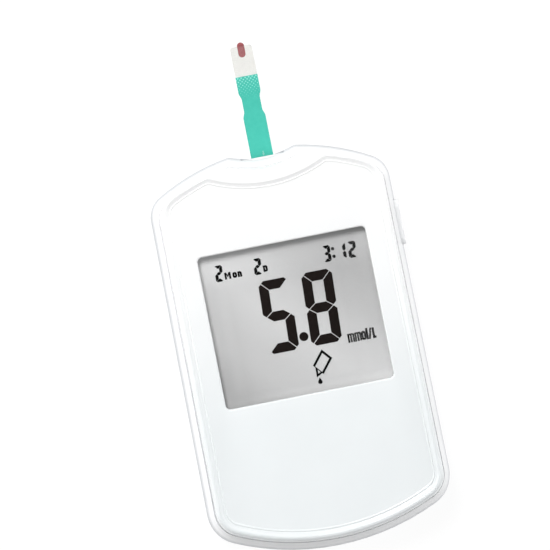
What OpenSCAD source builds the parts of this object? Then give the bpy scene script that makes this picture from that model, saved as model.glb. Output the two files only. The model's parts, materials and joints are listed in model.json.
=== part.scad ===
// Blood glucose meter lying on its back, with a test strip in its port.
// X runs across the meter, Y towards the test strip, Z up through the display.
// The origin is on the back plane, straight below the middle of the display window.

/* [Housing] */
// Width of the housing at the bottom end
body_w = 61.8; // [61.2:0.1:64]
// How much narrower the housing is at the strip end
body_taper = 1; // [0:0.1:1.4]
// Length from the bottom end to the crown of the strip-end arch
body_l = 101.2; // [100.4:0.1:106]
// From the middle of the display window to the crown of the strip-end arch
display_to_crown = 43; // [42.6:0.1:44]
// Thickness from the back plane to the shoulder round the face panel
body_h = 24.5; // [24.4:0.1:27]
// Wall thickness of both covers
wall = 1.8; // [1.5:0.1:1.9]
// Height of the widest level of the sides
side_z = 9.5; // [9:0.1:10]
// Height of the parting line between the covers
seam_z = 17.5; // [17:0.1:18]
// How far the sides have drawn in at the parting line
seam_inset = 1.8; // [1.6:0.1:2.1]
// How far the rounding of the sides reaches in on the back plane
back_round = 6; // [5.5:0.1:6.5]
// How much further the ends are drawn in than the sides
end_draw = 1.28; // [1.1:0.02:1.3]
// Radius of the strip-end arch
arch_r = 55; // [50:1:65]
// Radius of the bottom-end arc
base_r = 62; // [55:1:75]
// Corner radius at the strip end
arch_corner = 6.5; // [6:0.1:8]
// Corner radius at the bottom end
base_corner = 8.75; // [8:0.05:10]
// Radius of the shallow notch at the strip port
notch_r = 23.7; // [20:0.1:28]
// Depth of the notch below the crown of the arch
notch_depth = 2.15; // [1.8:0.05:2.6]
// Rounding of the two peaks beside the notch
peak_r = 2; // [1:0.1:3]
// Width of the shadow groove along the parting line
groove_w = 0.4; // [0.2:0.05:0.5]
// Depth of the shadow groove along the parting line
groove_d = 0.4; // [0.2:0.05:0.5]
// Height of the tongue on the back cover that centres the front cover
tongue_h = 1.2; // [0.8:0.1:1.6]

/* [Face] */
// Depth of the face panel below the shoulder
panel_step = 0.5; // [0.3:0.1:0.6]
// Distance from the housing's widest outline to the rim of the face panel
panel_inset = 3.5; // [3.2:0.1:3.8]
// Width of the panel's stepped rim
panel_rim = 1.15; // [0.9:0.05:1.4]
// Width of the ledge halfway down the rim
panel_ledge = 0.45; // [0.3:0.05:0.6]
// Height of the rim's inner slope, the rest of the step is the outer one
panel_low_step = 0.2; // [0.1:0.05:0.25]
// Depth of the panel's crown below the housing's crown
panel_drop = 3; // [2.6:0.1:3.4]
// Radius of the panel's concave scoop at the strip end
scoop_r = 32.6; // [28:0.1:38]
// Depth of the scoop below the panel's crown
scoop_depth = 5.5; // [4.5:0.1:6]
// Corner radius of the panel at the strip end
panel_corner = 5; // [4:0.1:6]
// Distance from the side of the housing to the display window
window_side = 9.8; // [9.4:0.1:11]
// Length of the display window
window_l = 38.1; // [36:0.1:39]
// Corner radius of the display window
window_r = 1.2; // [0.6:0.1:2.5]

/* [Display] */
// Thickness of the clear lens
lens_t = 1; // [0.8:0.05:1.05]
// Width of the lens rim that is bonded under the face around the window
lens_rim = 1.8; // [1.2:0.1:2]
// Thickness of each display glass
glass_t = 0.7; // [0.5:0.05:0.75]
// Thickness of each polarizer film
film_t = 0.2; // [0.15:0.05:0.25]
// Thickness of the segment layer between the glasses
segment_t = 0.05; // [0.03:0.01:0.06]
// How far the glass reaches past the window on every side
glass_margin = 1.2; // [0.8:0.1:1.4]
// Width of the contact ledge at the bottom edge of the front glass
ledge_w = 2.8; // [2.6:0.1:3]
// Height of the display holder's shelf above the main board
shelf_h = 3; // [2.6:0.1:3.1]
// Wall thickness of the display holder
holder_wall = 1.2; // [0.8:0.1:1.3]
// Height of the large digits
digit_h = 18.4; // [14:0.1:18.6]
// Width of the large digits
digit_w = 7.9; // [7:0.1:8.4]
// Stroke width of the large digits
digit_stroke = 2.45; // [1.6:0.05:2.6]
// Distance between the large digits
digit_pitch = 10.8; // [10.6:0.1:11]
// How far the digits lean, as a share of their height
digit_lean = 0.04; // [0:0.01:0.1]
// Height of the small digits
small_digit_h = 4; // [3.4:0.1:4.6]
// Width of the small digits
small_digit_w = 2.1; // [1.8:0.1:2.2]

/* [Board] */
// Thickness of the main board
board_t = 1; // [0.8:0.1:1]
// Distance from the side of the housing to the main board
board_side = 4.9; // [4.8:0.1:5.4]
// Distance from the bottom end of the housing to the main board
board_end = 11.2; // [11:0.1:13]
// Distance from the main board to the crown of the strip-end arch
board_crown = 8; // [7.8:0.1:8.5]
// Corner radius of the main board
board_corner = 9; // [8.5:0.1:10]
// Diameter of the buzzer
buzzer_d = 12; // [10:0.5:12]
// Height of the buzzer
buzzer_h = 3.4; // [2.4:0.1:3.6]
// Width of the processor
processor_w = 10; // [8:0.5:10]

/* [Cells] */
// Diameter of a cell
cell_d = 10.5; // [10.1:0.1:10.5]
// Length of a cell over its contact
cell_l = 44.5; // [43:0.1:44.8]
// Length left at the negative end of a cell for its spring
spring_l = 3.2; // [2.8:0.1:3.6]
// Gap between the cells, and between the cells and the bay
cell_gap = 0.3; // [0.2:0.05:0.4]
// Thickness of the bay's walls and roof
bay_wall = 1.2; // [1:0.1:1.3]
// Thickness of the contact plates
plate_t = 0.4; // [0.3:0.05:0.5]
// Wire diameter of the cell springs
spring_wire = 0.6; // [0.4:0.05:0.6]

/* [Battery door] */
// Width of the battery door
door_w = 36; // [35.6:0.1:36.4]
// Height of the battery door at the bottom end
door_h = 11; // [9:0.5:12]
// Gap around the battery door
door_gap = 0.3; // [0.25:0.05:0.4]
// Number of grip grooves in the door
grip_count = 6; // [3:1:8]
// Width of the grip grooves across the door
grip_w = 15; // [10:1:20]

/* [Buttons] */
// Length of the memory button along the right-hand side
memory_l = 11.4; // [9:0.1:11.6]
// Height of the memory button
memory_h = 4.2; // [3.4:0.1:4.3]
// How far the memory button stands out of the side
memory_proud = 0.6; // [0.4:0.1:1]
// Distance from the middle of the display to the memory button
memory_y = 18.3; // [17.5:0.1:18.5]
// Travel of the memory button
memory_travel = 0.5; // [0.3:0.05:0.6]
// Diameter of the set button
set_d = 2.8; // [2.2:0.1:2.8]
// Distance from the middle of the display to the set button
set_y = -18; // [-24:0.5:-12]
// Travel of the set button
set_travel = 0.4; // [0.2:0.05:0.5]
// Gap between a button and its hole
button_gap = 0.3; // [0.2:0.05:0.3]

/* [Screws] */
// Distance of the case screws from the side of the housing
screw_side = 7.7; // [7.6:0.1:7.9]
// Distance of the strip-end case screws from the crown of the arch
screw_crown = 14.7; // [14.2:0.1:14.8]
// Distance of the bottom-end case screws from the bottom end
screw_end = 17.2; // [16.2:0.1:18.2]
// Diameter of the case screw shanks
screw_d = 2.2; // [1.8:0.1:2.2]
// Diameter of the case screw heads
screw_head_d = 4.2; // [3.6:0.1:4.2]
// Height of the case screw heads
screw_head_h = 1.6; // [1.2:0.1:1.8]
// Height of the case screw seats above the back plane
screw_seat_z = 8; // [7:0.1:8.5]
// Length of the case screw shanks
screw_l = 11; // [9:0.5:12]
// Distance of the board screws from the cell bay
board_screw_gap = 3.4; // [3.2:0.1:3.8]
// Distance of the board screws from the edge of the display window
board_screw_end = 8.5; // [8.2:0.1:8.8]
// Diameter of the board screw shanks
board_screw_d = 1.7; // [1.4:0.1:1.8]
// Length of the board screw shanks
board_screw_l = 4.5; // [3.5:0.1:5]

/* [Test strip] */
// Width of the strip at the port
strip_w = 5.6; // [5.4:0.1:6]
// Width of the strip's tip
strip_tip_w = 5.6; // [5.2:0.1:5.8]
// Length of strip outside the port
strip_out = 28.2; // [24:0.1:32]
// Length of strip inside the port
strip_in = 8.8; // [8.6:0.1:9]
// Length of the clear tip
strip_tip_l = 7.6; // [6:0.1:10]
// Depth of the waist on each side of the strip
waist_d = 0.5; // [0.2:0.1:0.6]
// Length of the waist with its two ramps
waist_l = 6.6; // [5:0.1:9]
// Length of each ramp of the waist
waist_ramp = 1.8; // [1:0.1:2.4]
// Distance from the port to the middle of the waist
waist_y = 13.4; // [12:0.1:15]
// Thickness of the strip's plastic base
base_t = 0.3; // [0.2:0.05:0.35]
// Thickness of the printed electrodes
electrode_t = 0.05; // [0.03:0.01:0.06]
// Thickness of the spacer
spacer_t = 0.1; // [0.08:0.01:0.12]
// Thickness of the cover film
cover_t = 0.15; // [0.1:0.01:0.18]
// Width of the sample channel
sample_w = 1.8; // [1.4:0.1:2.2]
// Length of the sample drawn into the channel
sample_l = 2.9; // [2.4:0.1:4]
// Height of the strip below the main board
strip_drop = 4.2; // [4.1:0.1:4.3]

/* [Hidden] */

$fn = 48;
slip = 0.1;          // gap between fixed pieces that are pushed together
through = 1;         // how far a cut runs past the face that it opens
corner_steps = 7;    // straight stretches in each quarter of the housing's outline
arc_steps = 7;
round_steps = 8;     // levels in the rounding from the sides to the back

// Colours
shell_white = [0.86, 0.87, 0.88];
shell_grey = [0.72, 0.74, 0.76];
board_green = [0.10, 0.42, 0.24];
chip_black = [0.10, 0.10, 0.11];
metal = [0.78, 0.78, 0.76];
film_clear = [0.85, 0.90, 0.92, 0.5];
strip_teal = [0.32, 0.80, 0.73];
blood_red = [0.62, 0.28, 0.28];

// Heights of the display stack, from the face down
face_z = body_h - panel_step;
ceiling_z = face_z - wall;
lens_z = ceiling_z - lens_t;
lcd_top_z = lens_z - 0.15;
front_film_z = lcd_top_z - film_t;
front_glass_z = front_film_z - glass_t;
segment_z = front_glass_z - segment_t;
rear_glass_z = segment_z - glass_t;
rear_film_z = rear_glass_z - film_t;
board_top_z = rear_film_z - shelf_h;
board_z = board_top_z - board_t;

// Display outlines
window_w = body_w - 2 * window_side;
glass_w = window_w + 2 * glass_margin;
glass_l = window_l + 2 * glass_margin;
front_glass_l = glass_l + ledge_w;
holder_w = glass_w + 2 * (slip + holder_wall);
holder_l = front_glass_l + 2 * (slip + holder_wall);
holder_y = -ledge_w / 2;
zebra_w = 2.2;
zebra_l = glass_w - 7;
zebra_y = -glass_l / 2 - ledge_w / 2 - slip;

// Digits: the bars that are dark in each, and their places in the window
two = [0, 1, 6, 4, 3];
three = [0, 1, 2, 3, 6];
five = [0, 5, 6, 2, 3];
eight = [0, 1, 2, 3, 4, 5, 6];
one = [1, 2];
digit_x = -3.9;
digit_gap = 0.1;     // light line round each bar
digit_y = 1.3;
point_at = [1.2, -5.1];
point_r = 1.05;
small_digit_y = 14.1;
small_stroke = 0.8;
small_gap = 0.07;
small_digits = [[-16.3, two], [-6.6, two], [10.8, three], [14.4, one], [17.1, two]];
colon_x = 12.4;
colon_r = 0.3;

// Sign of a strip with a drop at its tip: its middle, turn, outline and pointed end
sign_at = [4.6, -12.1];
sign_turn = -36;
sign_size = [3.1, 4.4];
sign_stroke = 0.4;
sign_point = [2.2, 1.8];
drop_at = [3.1, -16.4];
drop_r = 0.48;

// Rounding of the panel's two peaks
panel_peak_r = 2.2;

// Strip-end and bottom-end arcs
arch_y = display_to_crown - arch_r;
base_y = display_to_crown - body_l + base_r;
notch_y = display_to_crown - notch_depth;
port_y = notch_y;
low_y = base_y - base_r;

// Main board
board_w = body_w - 2 * board_side;
board_top_y = display_to_crown - board_crown;
board_l = board_top_y - low_y - board_end;

// Cell bay
cell_x = cell_d / 2 + cell_gap;
cell_z = wall + cell_gap + cell_d / 2;
bay_half = cell_x + cell_d / 2 + cell_gap;
bay_l = cell_l + spring_l + 2 * plate_t;
bay_end = 8.2;       // from the bottom end of the housing to the cells' end plate
bay_low_y = low_y + bay_end;
bay_top_y = bay_low_y + bay_l;
bay_roof_z = cell_z + cell_d / 2 + cell_gap;
nub_r = 1.9;
nub_l = 0.9;
cell_rim_r = 3.9;    // foot of the negative end
cell_rim_h = 0.3;
cell_round = 0.6;
spring_r = 4;
spring_tip_r = 2.8;
spring_play = 0.02;  // left free at both ends of a spring
terminal_w = 2;
terminal_half = 4.4;
plate_half = 4.5;

// Battery door and its runners
door_top_y = bay_top_y - 2.3;    // the rest of the last cell lies under the back cover
runner_t = 1.2;
runner_z = wall + door_gap;
deck_z = runner_z + runner_t + door_gap;
deck_t = 1.2;
runner_reach = 1.5;
channel_x = door_w / 2 + runner_reach + door_gap;
channel_wall = 1.2;
runner_low_y = bay_low_y + 6;
runner_web = 0.7;    // thickness of the web that carries a runner
runner_end = 0.5;    // from the end of a runner to the end of the door
grip_d = 1.1;
grip_pitch = 1.9;
grip_low_y = runner_low_y + 5;

// Screw bosses
boss_joint_z = side_z + 2.5;
back_boss_r = 3.3;
front_boss_r = 2.8;
screw_x = body_w / 2 - screw_side;
screw_y_top = display_to_crown - screw_crown;
screw_y_low = -low_y - screw_end;
board_screw_x = bay_half + bay_wall + board_screw_gap;
board_screw_y = window_l / 2 + board_screw_end;
screw_positions = [for (x = [-screw_x, screw_x], y = [screw_y_top, -screw_y_low]) [x, y]];
board_screw_positions = [for (x = [-board_screw_x, board_screw_x], y = [-board_screw_y, board_screw_y]) [x, y]];
board_boss_r = 2;
board_head_d = 3.2;
board_head_h = 1.2;
thread_play = 0.06;  // between a screw and its post
head_play = 0.4;     // between a screw and the cover that it passes
post_spare = 1;      // depth of a post's hole below the screw's end

// Memory button and its switch on the board's edge
memory_x = side_x(memory_y);
memory_z = board_z - 3;
memory_flange = 1;
memory_flange_h = memory_h + 2 * button_gap + 0.4;
memory_flange_x = memory_x - upper_inset(memory_z + memory_flange_h / 2) - wall - 0.35;
memory_flange_t = 1;
memory_switch_x = board_w / 2 - 1.4;
memory_stem_x = memory_switch_x + memory_travel + 0.2;
memory_stem_d = 2.4;
memory_plunger_d = 1.6;
memory_plunger_in = 0.9;
memory_switch_t = 3.4;
memory_switch_half = 3;
crown_r = 9;

// Set button beside the cells
set_x = bay_half + bay_wall + 2.4;
set_flange_r = set_d / 2 + 0.7;
set_cap_z = wall + 0.6;
set_flange_z = deck_z + deck_t + 0.3;
set_flange_t = 0.8;
set_stem_d = 1.6;
set_switch_h = 2;
set_switch_half = 1.8;
set_stem_z = board_z - set_switch_h - set_travel - 0.3;
set_plunger_d = 1.4;
set_plunger_in = 0.7;

// Test strip heights and its seat in the connector
strip_z = board_z - strip_drop;
electrode_z = strip_z + base_t;
spacer_z = electrode_z + electrode_t;
cover_z = spacer_z + spacer_t;
strip_end_y = port_y - strip_in;
strip_tip_y = port_y + strip_out;
contact_l = 6.4;
slot_gap = 0.35;
connector_front_y = port_y - 3.65;
connector_back_y = strip_end_y - 1.6;
connector_w = 12.4;
connector_floor = 0.9;
contact_pitch = 1.6;
contact_w = 0.6;
contact_t = 0.3;
contact_tip = 2.9;   // from the strip's end to the point of touch
contact_bend = 2.4;  // from the connector's back to the start of the slope
contact_lift = 0.12; // gap above the strip before it bends the contact
contact_toe = 0.2;   // half length of the point of touch
electrode_w = 1.1;
electrode_stop = 3;
tip_round = 0.8;
cover_round = 0.05;
tip_film_t = cover_t - 0.05;
bead_h = 0.3;        // half height of the bead of blood at the tip
strip_mid_z = strip_z + (base_t + electrode_t + spacer_t + cover_t) / 2;
slot_top_z = cover_z + cover_t + slot_gap;

// Guide in the strip port
guide_w = 10.8;
guide_h = 4;
guide_y = port_y;
guide_flange_y = port_y - 2.8;
guide_flange = 1;
guide_flange_half = guide_h / 2 + 0.3;
guide_flange_t = 0.8;
guide_slot_w = strip_w + 0.6;
guide_mouth_w = strip_w + 2.4;
guide_mouth_h = 1;
guide_mouth_l = 1;

// Pieces under the board, placed between the cell bay and the strip connector
chip_low_y = bay_top_y + bay_wall;
chip_zone_l = connector_back_y - chip_low_y;
chip_t = 1.5;
chip_leg_l = 0.8;
chip_leg_t = 0.25;
processor_legs = 11;
processor_at = [-3, chip_low_y + 0.37 * chip_zone_l];
small_chip_w = 4;
small_chip_l = 5;
small_chip_legs = 4;
analog_at = [10.5, chip_low_y + 0.69 * chip_zone_l];
memory_chip_at = [10.5, chip_low_y + 0.4 * chip_zone_l];
crystal_d = 3;
crystal_l = 6;
crystal_at = [-6.5, chip_low_y + 0.76 * chip_zone_l];
buzzer_at = [-board_screw_x, chip_low_y + 0.52 * chip_zone_l];
buzzer_hole_d = 2.4;
buzzer_hole_depth = 0.8;

// ---------------------------------------------------------------- outlines

// Points of an arc, without its first point
function arc(c, r, a0, a1, n) =
    [for (i = [1:n]) let (a = a0 + (a1 - a0) * i / n) c + r * [cos(a), sin(a)]];

// Right half of a housing outline, from the middle of the bottom end round to the middle of the
// strip end: bottom arc, corner, side, corner, arch, peak and notch, each tangent to the next
function half_outline(low_half, top_half, arch_y, arch_r, top_corner, notch_cy, notch_r, peak,
                      base_y, base_r, low_corner) =
    let (
        lx = low_half - low_corner,
        ly = base_y - sqrt(pow(base_r - low_corner, 2) - lx * lx),
        la = atan2(ly - base_y, lx),
        tx = top_half - top_corner,
        ty = arch_y + sqrt(pow(arch_r - top_corner, 2) - tx * tx),
        ta = atan2(ty - arch_y, tx),
        py = (pow(arch_r - peak, 2) - pow(notch_r + peak, 2) + pow(notch_cy, 2) - pow(arch_y, 2))
            / (2 * (notch_cy - arch_y)),
        px = sqrt(pow(arch_r - peak, 2) - pow(py - arch_y, 2)),
        pa = atan2(py - arch_y, px),
        na = atan2(py - notch_cy, px)
    )
    concat(
        [[0, base_y - base_r]],
        arc([0, base_y], base_r, -90, la, arc_steps),
        arc([lx, ly], low_corner, la, 0, corner_steps),
        [[top_half, ty]],
        arc([tx, ty], top_corner, 0, ta, corner_steps),
        arc([0, arch_y], arch_r, ta, pa, arc_steps),
        arc([px, py], peak, pa, na + 180, 3),
        arc([0, notch_cy], notch_r, na, -90, arc_steps));

// Whole outline from its right half
function mirrored(half) =
    concat(half, [for (i = [len(half) - 2:-1:1]) [-half[i][0], half[i][1]]]);

// Housing outline drawn in by an inset at the sides
function housing(inset) =
    let (draw = inset * end_draw)
    mirrored(half_outline(body_w / 2 - inset, (body_w - body_taper) / 2 - inset,
        arch_y, arch_r - draw, max(arch_corner - inset, 0.8),
        notch_y + notch_r, notch_r + draw, max(peak_r - inset, 0.5),
        base_y, base_r - draw, max(base_corner - inset, 1)));

// Face panel outline drawn in by an inset
function panel(inset) =
    let (in = panel_inset + inset, crown = display_to_crown - panel_drop)
    mirrored(half_outline(body_w / 2 - in, (body_w - body_taper) / 2 - in,
        arch_y - panel_drop, arch_r - inset, max(panel_corner - inset, 0.8),
        crown - scoop_depth + scoop_r, scoop_r + inset, max(panel_peak_r - inset, 0.5),
        base_y, base_r - in * end_draw, max(base_corner - in, 1)));

function blend(a, b, t) = [for (i = [0:len(a) - 1]) a[i] * (1 - t) + b[i] * t];

// Half width of the housing's widest outline at a place along the straight of its side
function side_x(y) =
    let (
        top = arch_y + sqrt(pow(arch_r - arch_corner, 2)
            - pow((body_w - body_taper) / 2 - arch_corner, 2)),
        low = base_y - sqrt(pow(base_r - base_corner, 2) - pow(body_w / 2 - base_corner, 2))
    )
    body_w / 2 - body_taper / 2 * (y - low) / (top - low);

// Inset of the sides above their widest level
function upper_inset(z) =
    let (h = seam_z - side_z, r = (h * h + seam_inset * seam_inset) / (2 * seam_inset))
    r - sqrt(r * r - pow(z - side_z, 2));

// Levels of the back cover: each is an outline and its height
outer_levels = concat(
    [for (i = [0:round_steps]) let (a = 90 * i / round_steps)
        [housing(back_round * (1 - sin(a))), side_z * (1 - cos(a))]],
    [for (i = [1:3]) let (z = side_z + (seam_z - side_z) * i / 3) [housing(upper_inset(z)), z]]);
groove_z = seam_z - groove_d;
tongue_levels = [
    [housing(seam_inset + groove_w), groove_z],
    [housing(seam_inset + wall / 2 + slip), groove_z],
    [housing(seam_inset + wall / 2 + slip), seam_z + tongue_h],
    [housing(seam_inset + wall), seam_z + tongue_h]];
inner_levels = concat(
    [for (i = [3:-1:1]) let (z = side_z + (seam_z - side_z) * i / 3)
        [housing(upper_inset(z) + wall), z]],
    [for (i = [round_steps:-2:0]) let (a = 90 * i / round_steps)
        [housing(wall + (back_round - wall / 2) * (1 - sin(a))),
            wall + (side_z - wall) * (1 - cos(a))]]);

// Levels of the front cover: the side above the groove, the shoulder and the panel's stepped rim
cover_inset = seam_inset + groove_w;
shoulder_levels = [for (i = [0:7]) let (a = 90 * i / 7)
    [blend(housing(cover_inset), panel(0), 1 - cos(a)), seam_z + (body_h - seam_z) * sin(a)]];
rim_slope = (panel_rim - panel_ledge) / 2;
rim_levels = [
    [panel(rim_slope), face_z + panel_low_step],
    [panel(rim_slope + panel_ledge), face_z + panel_low_step],
    [panel(panel_rim), face_z]];
front_outer_levels = concat([[housing(cover_inset), groove_z]], shoulder_levels, rim_levels);
front_inner_levels = [
    [panel(wall), ceiling_z],
    [housing(seam_inset + wall), seam_z + tongue_h + slip],
    [housing(seam_inset + wall / 2), seam_z + tongue_h + slip],
    [housing(seam_inset + wall / 2), groove_z]];

// Closed solid through a list of levels, each with the same number of points
module loft(levels) {
    n = len(levels[0][0]);
    last = len(levels) - 1;
    points = [for (level = levels, p = level[0]) [p[0], p[1], level[1]]];
    sides = [for (k = [0:last - 1], i = [0:n - 1])
        let (j = (i + 1) % n, a = k * n + i, b = k * n + j, c = a + n, d = b + n)
        each [[a, c, b], [b, c, d]]];
    polyhedron(points, concat([[for (i = [0:n - 1]) i]], sides,
        [[for (i = [n - 1:-1:0]) last * n + i]]), convexity = 10);
}

// Plate with rounded corners, centred on the origin
module rounded_plate(w, l, r) {
    square([w - 2 * r, l], center = true);
    square([w, l - 2 * r], center = true);
    for (x = [-1, 1], y = [-1, 1]) translate([x * (w / 2 - r), y * (l / 2 - r)]) circle(r);
}

// Block from its lowest corner to its highest
module block(low, high) {
    translate(low) cube(high - low);
}

// Stadium across X: a slot with round ends, l long in Y and h high in Z
module side_slot(l, h, x0, x1) {
    translate([x0, 0, 0]) rotate([90, 0, 90]) linear_extrude(x1 - x0) {
        square([l - h, h], center = true);
        for (s = [-1, 1]) translate([s * (l - h) / 2, 0]) circle(h / 2);
    }
}

// ----------------------------------------------------------------- covers

module door_zone(gap) {
    block([-door_w / 2 - gap, low_y - through, -through],
        [door_w / 2 + gap, door_top_y + gap, door_h + gap]);
}

// Inverted tub over the cells, the decks beside it and the walls of the door's runner channels
module cell_bay() {
    for (s = [-1, 1]) {
        // side walls, and their feet beyond the door
        block([s * bay_half - (s < 0 ? bay_wall : 0), bay_low_y - bay_wall, deck_z],
            [s * bay_half + (s < 0 ? 0 : bay_wall), bay_top_y + bay_wall, bay_roof_z + bay_wall]);
        block([s * bay_half - (s < 0 ? bay_wall : 0), door_top_y + door_gap, wall / 2],
            [s * bay_half + (s < 0 ? 0 : bay_wall), bay_top_y + bay_wall, deck_z + deck_t]);
        mirror([s < 0 ? 1 : 0, 0, 0]) {
            block([bay_half, runner_low_y - 2, deck_z],
                [channel_x + channel_wall, bay_top_y + bay_wall, deck_z + deck_t]);
            block([channel_x, runner_low_y - 2, wall / 2],
                [channel_x + channel_wall, bay_top_y + bay_wall, deck_z + deck_t]);
        }
    }
    block([-bay_half, bay_low_y - bay_wall, bay_roof_z],
        [bay_half, bay_top_y + bay_wall, bay_roof_z + bay_wall]);
    block([-bay_half, bay_low_y - bay_wall, deck_z], [bay_half, bay_low_y, bay_roof_z + bay_wall]);
    block([-bay_half, bay_top_y, wall / 2], [bay_half, bay_top_y + bay_wall, bay_roof_z + bay_wall]);
}

module back_cover() color(shell_grey) difference() {
    union() {
        difference() {
            loft(concat(outer_levels, tongue_levels, inner_levels));
            door_zone(door_gap);
        }
        cell_bay();
        intersection() {
            loft(outer_levels);
            for (p = screw_positions)
                translate([p[0], p[1], wall / 4]) cylinder(r = back_boss_r, h = boss_joint_z - wall / 4);
        }
    }
    for (p = screw_positions) translate([p[0], p[1], 0]) {
        translate([0, 0, -through]) cylinder(d = screw_head_d + head_play, h = screw_seat_z + through);
        cylinder(d = screw_d + head_play, h = boss_joint_z + through);
    }
    // ways for the door's runners through the bottom-end wall
    for (s = [0, 1]) mirror([s, 0, 0])
        block([door_w / 2, low_y - through, runner_z - door_gap],
            [door_w / 2 + runner_reach + door_gap, runner_low_y, runner_z + runner_t + door_gap]);
    // terminal slots in the roof of the bay
    for (s = [-1, 1])
        block([s * cell_x - terminal_w / 2 - slip, bay_top_y - plate_t - slip, bay_roof_z - through],
            [s * cell_x + terminal_w / 2 + slip, bay_top_y, bay_roof_z + bay_wall + through]);
    // holes for the memory button, the set button and the strip port
    translate([0, memory_y, memory_z]) side_slot(memory_l + 2 * button_gap, memory_h + 2 * button_gap,
        memory_x - wall - 2, memory_x + through);
    translate([set_x, set_y, deck_z - through]) cylinder(r = set_d / 2 + button_gap, h = deck_t + 2 * through);
    block([-guide_w / 2 - slip, guide_flange_y - through, strip_mid_z - guide_h / 2 - slip],
        [guide_w / 2 + slip, port_y + 3, strip_mid_z + guide_h / 2 + slip]);
}

module front_cover() color(shell_white) difference() {
    union() {
        loft(concat(front_inner_levels, front_outer_levels));
        for (p = screw_positions)
            translate([p[0], p[1], boss_joint_z])
                cylinder(r = front_boss_r, h = ceiling_z - boss_joint_z + wall / 4);
        for (p = board_screw_positions)
            translate([p[0], p[1], board_top_z])
                cylinder(r = board_boss_r, h = ceiling_z - board_top_z + wall / 4);
    }
    translate([0, 0, ceiling_z - through]) linear_extrude(wall + 2 * through)
        rounded_plate(window_w, window_l, window_r);
    for (p = screw_positions)
        translate([p[0], p[1], boss_joint_z - through])
            cylinder(d = screw_d + thread_play, h = screw_seat_z + screw_l + post_spare - boss_joint_z + through);
    for (p = board_screw_positions)
        translate([p[0], p[1], board_top_z - through])
            cylinder(d = board_screw_d + thread_play, h = board_screw_l + post_spare - board_t + through);
}

// ---------------------------------------------------------------- display

module display_lens() color(film_clear) translate([0, 0, lens_z]) linear_extrude(lens_t)
    rounded_plate(window_w + 2 * lens_rim, window_l + 2 * lens_rim, window_r + lens_rim / 2);

module glass_plate(z, t, l, y) {
    block([-glass_w / 2, y - l / 2, z], [glass_w / 2, y + l / 2, z + t]);
}

module lcd_front_polarizer() color([0.80, 0.82, 0.80, 0.5]) glass_plate(front_film_z, film_t, glass_l, 0);

module lcd_front_glass() color(film_clear)
    glass_plate(front_glass_z, glass_t, front_glass_l, -ledge_w / 2);

module lcd_rear_glass() color(film_clear) glass_plate(rear_glass_z, glass_t, glass_l, 0);

module lcd_rear_polarizer() color([0.74, 0.76, 0.74]) glass_plate(rear_film_z, film_t, glass_l, 0);

// Seven-bar digit centred on the origin. on lists the bars that are dark: 0 top, 1 upper right,
// 2 lower right, 3 bottom, 4 lower left, 5 upper left, 6 middle
module digit(w, h, t, gap, on) {
    x = w / 2;
    y = h / 2;
    cut = t / 2;
    end_bar = [[cut - x, y], [x - cut, y], [x - cut / 2, y - cut / 2], [x - t, y - t], [t - x, y - t],
        [cut / 2 - x, y - cut / 2]];
    side_bar = [[x, y - cut], [x, t / 2], [x - t / 2, 0], [x - t, t / 2], [x - t, y - t],
        [x - cut / 2, y - cut / 2]];
    middle_bar = [[t / 2 - x, 0], [t - x, t / 2], [x - t, t / 2], [x - t / 2, 0], [x - t, -t / 2],
        [t - x, -t / 2]];
    for (k = on) {
        bar = k == 6 ? middle_bar : k % 3 == 0 ? end_bar : side_bar;
        right = k < 4 || k == 6 ? 1 : -1;
        up = k < 2 || k > 4 ? 1 : -1;
        offset(delta = -gap)
            polygon([for (p = bar) [right * p[0] + digit_lean * up * p[1], up * p[1]]]);
    }
}

module sign_outline(shrink) {
    square([sign_size[0] - 2 * shrink, sign_size[1] - 2 * shrink], center = true);
}

module sign_tip(shrink) {
    offset(delta = -shrink)
        polygon([[-sign_point[0] / 2, -sign_size[1] / 2], [sign_point[0] / 2, -sign_size[1] / 2],
            [0, -sign_size[1] / 2 - sign_point[1]]]);
}

module strip_sign() {
    translate(sign_at) rotate(sign_turn) {
        difference() {
            sign_outline(0);
            sign_outline(sign_stroke);
        }
        difference() {
            sign_tip(0);
            sign_tip(sign_stroke * 0.8);
        }
    }
    translate(drop_at) {
        circle(drop_r);
        polygon([[-drop_r, 0.1], [0.1, 2 * drop_r], [drop_r, 0.1]]);
    }
}

module lcd_segments() color([0.16, 0.13, 0.12]) translate([0, 0, segment_z]) linear_extrude(segment_t) {
    translate([digit_x, digit_y]) digit(digit_w, digit_h, digit_stroke, digit_gap, five);
    translate([digit_x + digit_pitch, digit_y]) digit(digit_w, digit_h, digit_stroke, digit_gap, eight);
    translate(point_at) circle(point_r);
    for (d = small_digits)
        translate([d[0], small_digit_y]) digit(small_digit_w, small_digit_h, small_stroke, small_gap, d[1]);
    for (s = [-1, 1]) translate([colon_x, small_digit_y + s]) circle(colon_r, $fn = 24);
    strip_sign();
}

module lcd_holder() color([0.90, 0.90, 0.88]) difference() {
    block([-holder_w / 2, holder_y - holder_l / 2, board_top_z],
        [holder_w / 2, holder_y + holder_l / 2, front_film_z]);
    block([-glass_w / 2 - slip, holder_y - front_glass_l / 2 - slip, rear_film_z],
        [glass_w / 2 + slip, holder_y + front_glass_l / 2 + slip, front_film_z + through]);
    // open middle under the rear polarizer
    block([-window_w / 2, -window_l / 2, board_top_z - through],
        [window_w / 2, window_l / 2, rear_film_z + through]);
    // slot for the rubber connector
    block([-zebra_l / 2 - slip, zebra_y - zebra_w / 2 - slip, board_top_z - through],
        [zebra_l / 2 + slip, zebra_y + zebra_w / 2 + slip, rear_film_z + through]);
}

module zebra_connector() color([0.62, 0.62, 0.64])
    block([-zebra_l / 2, zebra_y - zebra_w / 2, board_top_z],
        [zebra_l / 2, zebra_y + zebra_w / 2, front_glass_z]);

// ------------------------------------------------------------------ board

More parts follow.
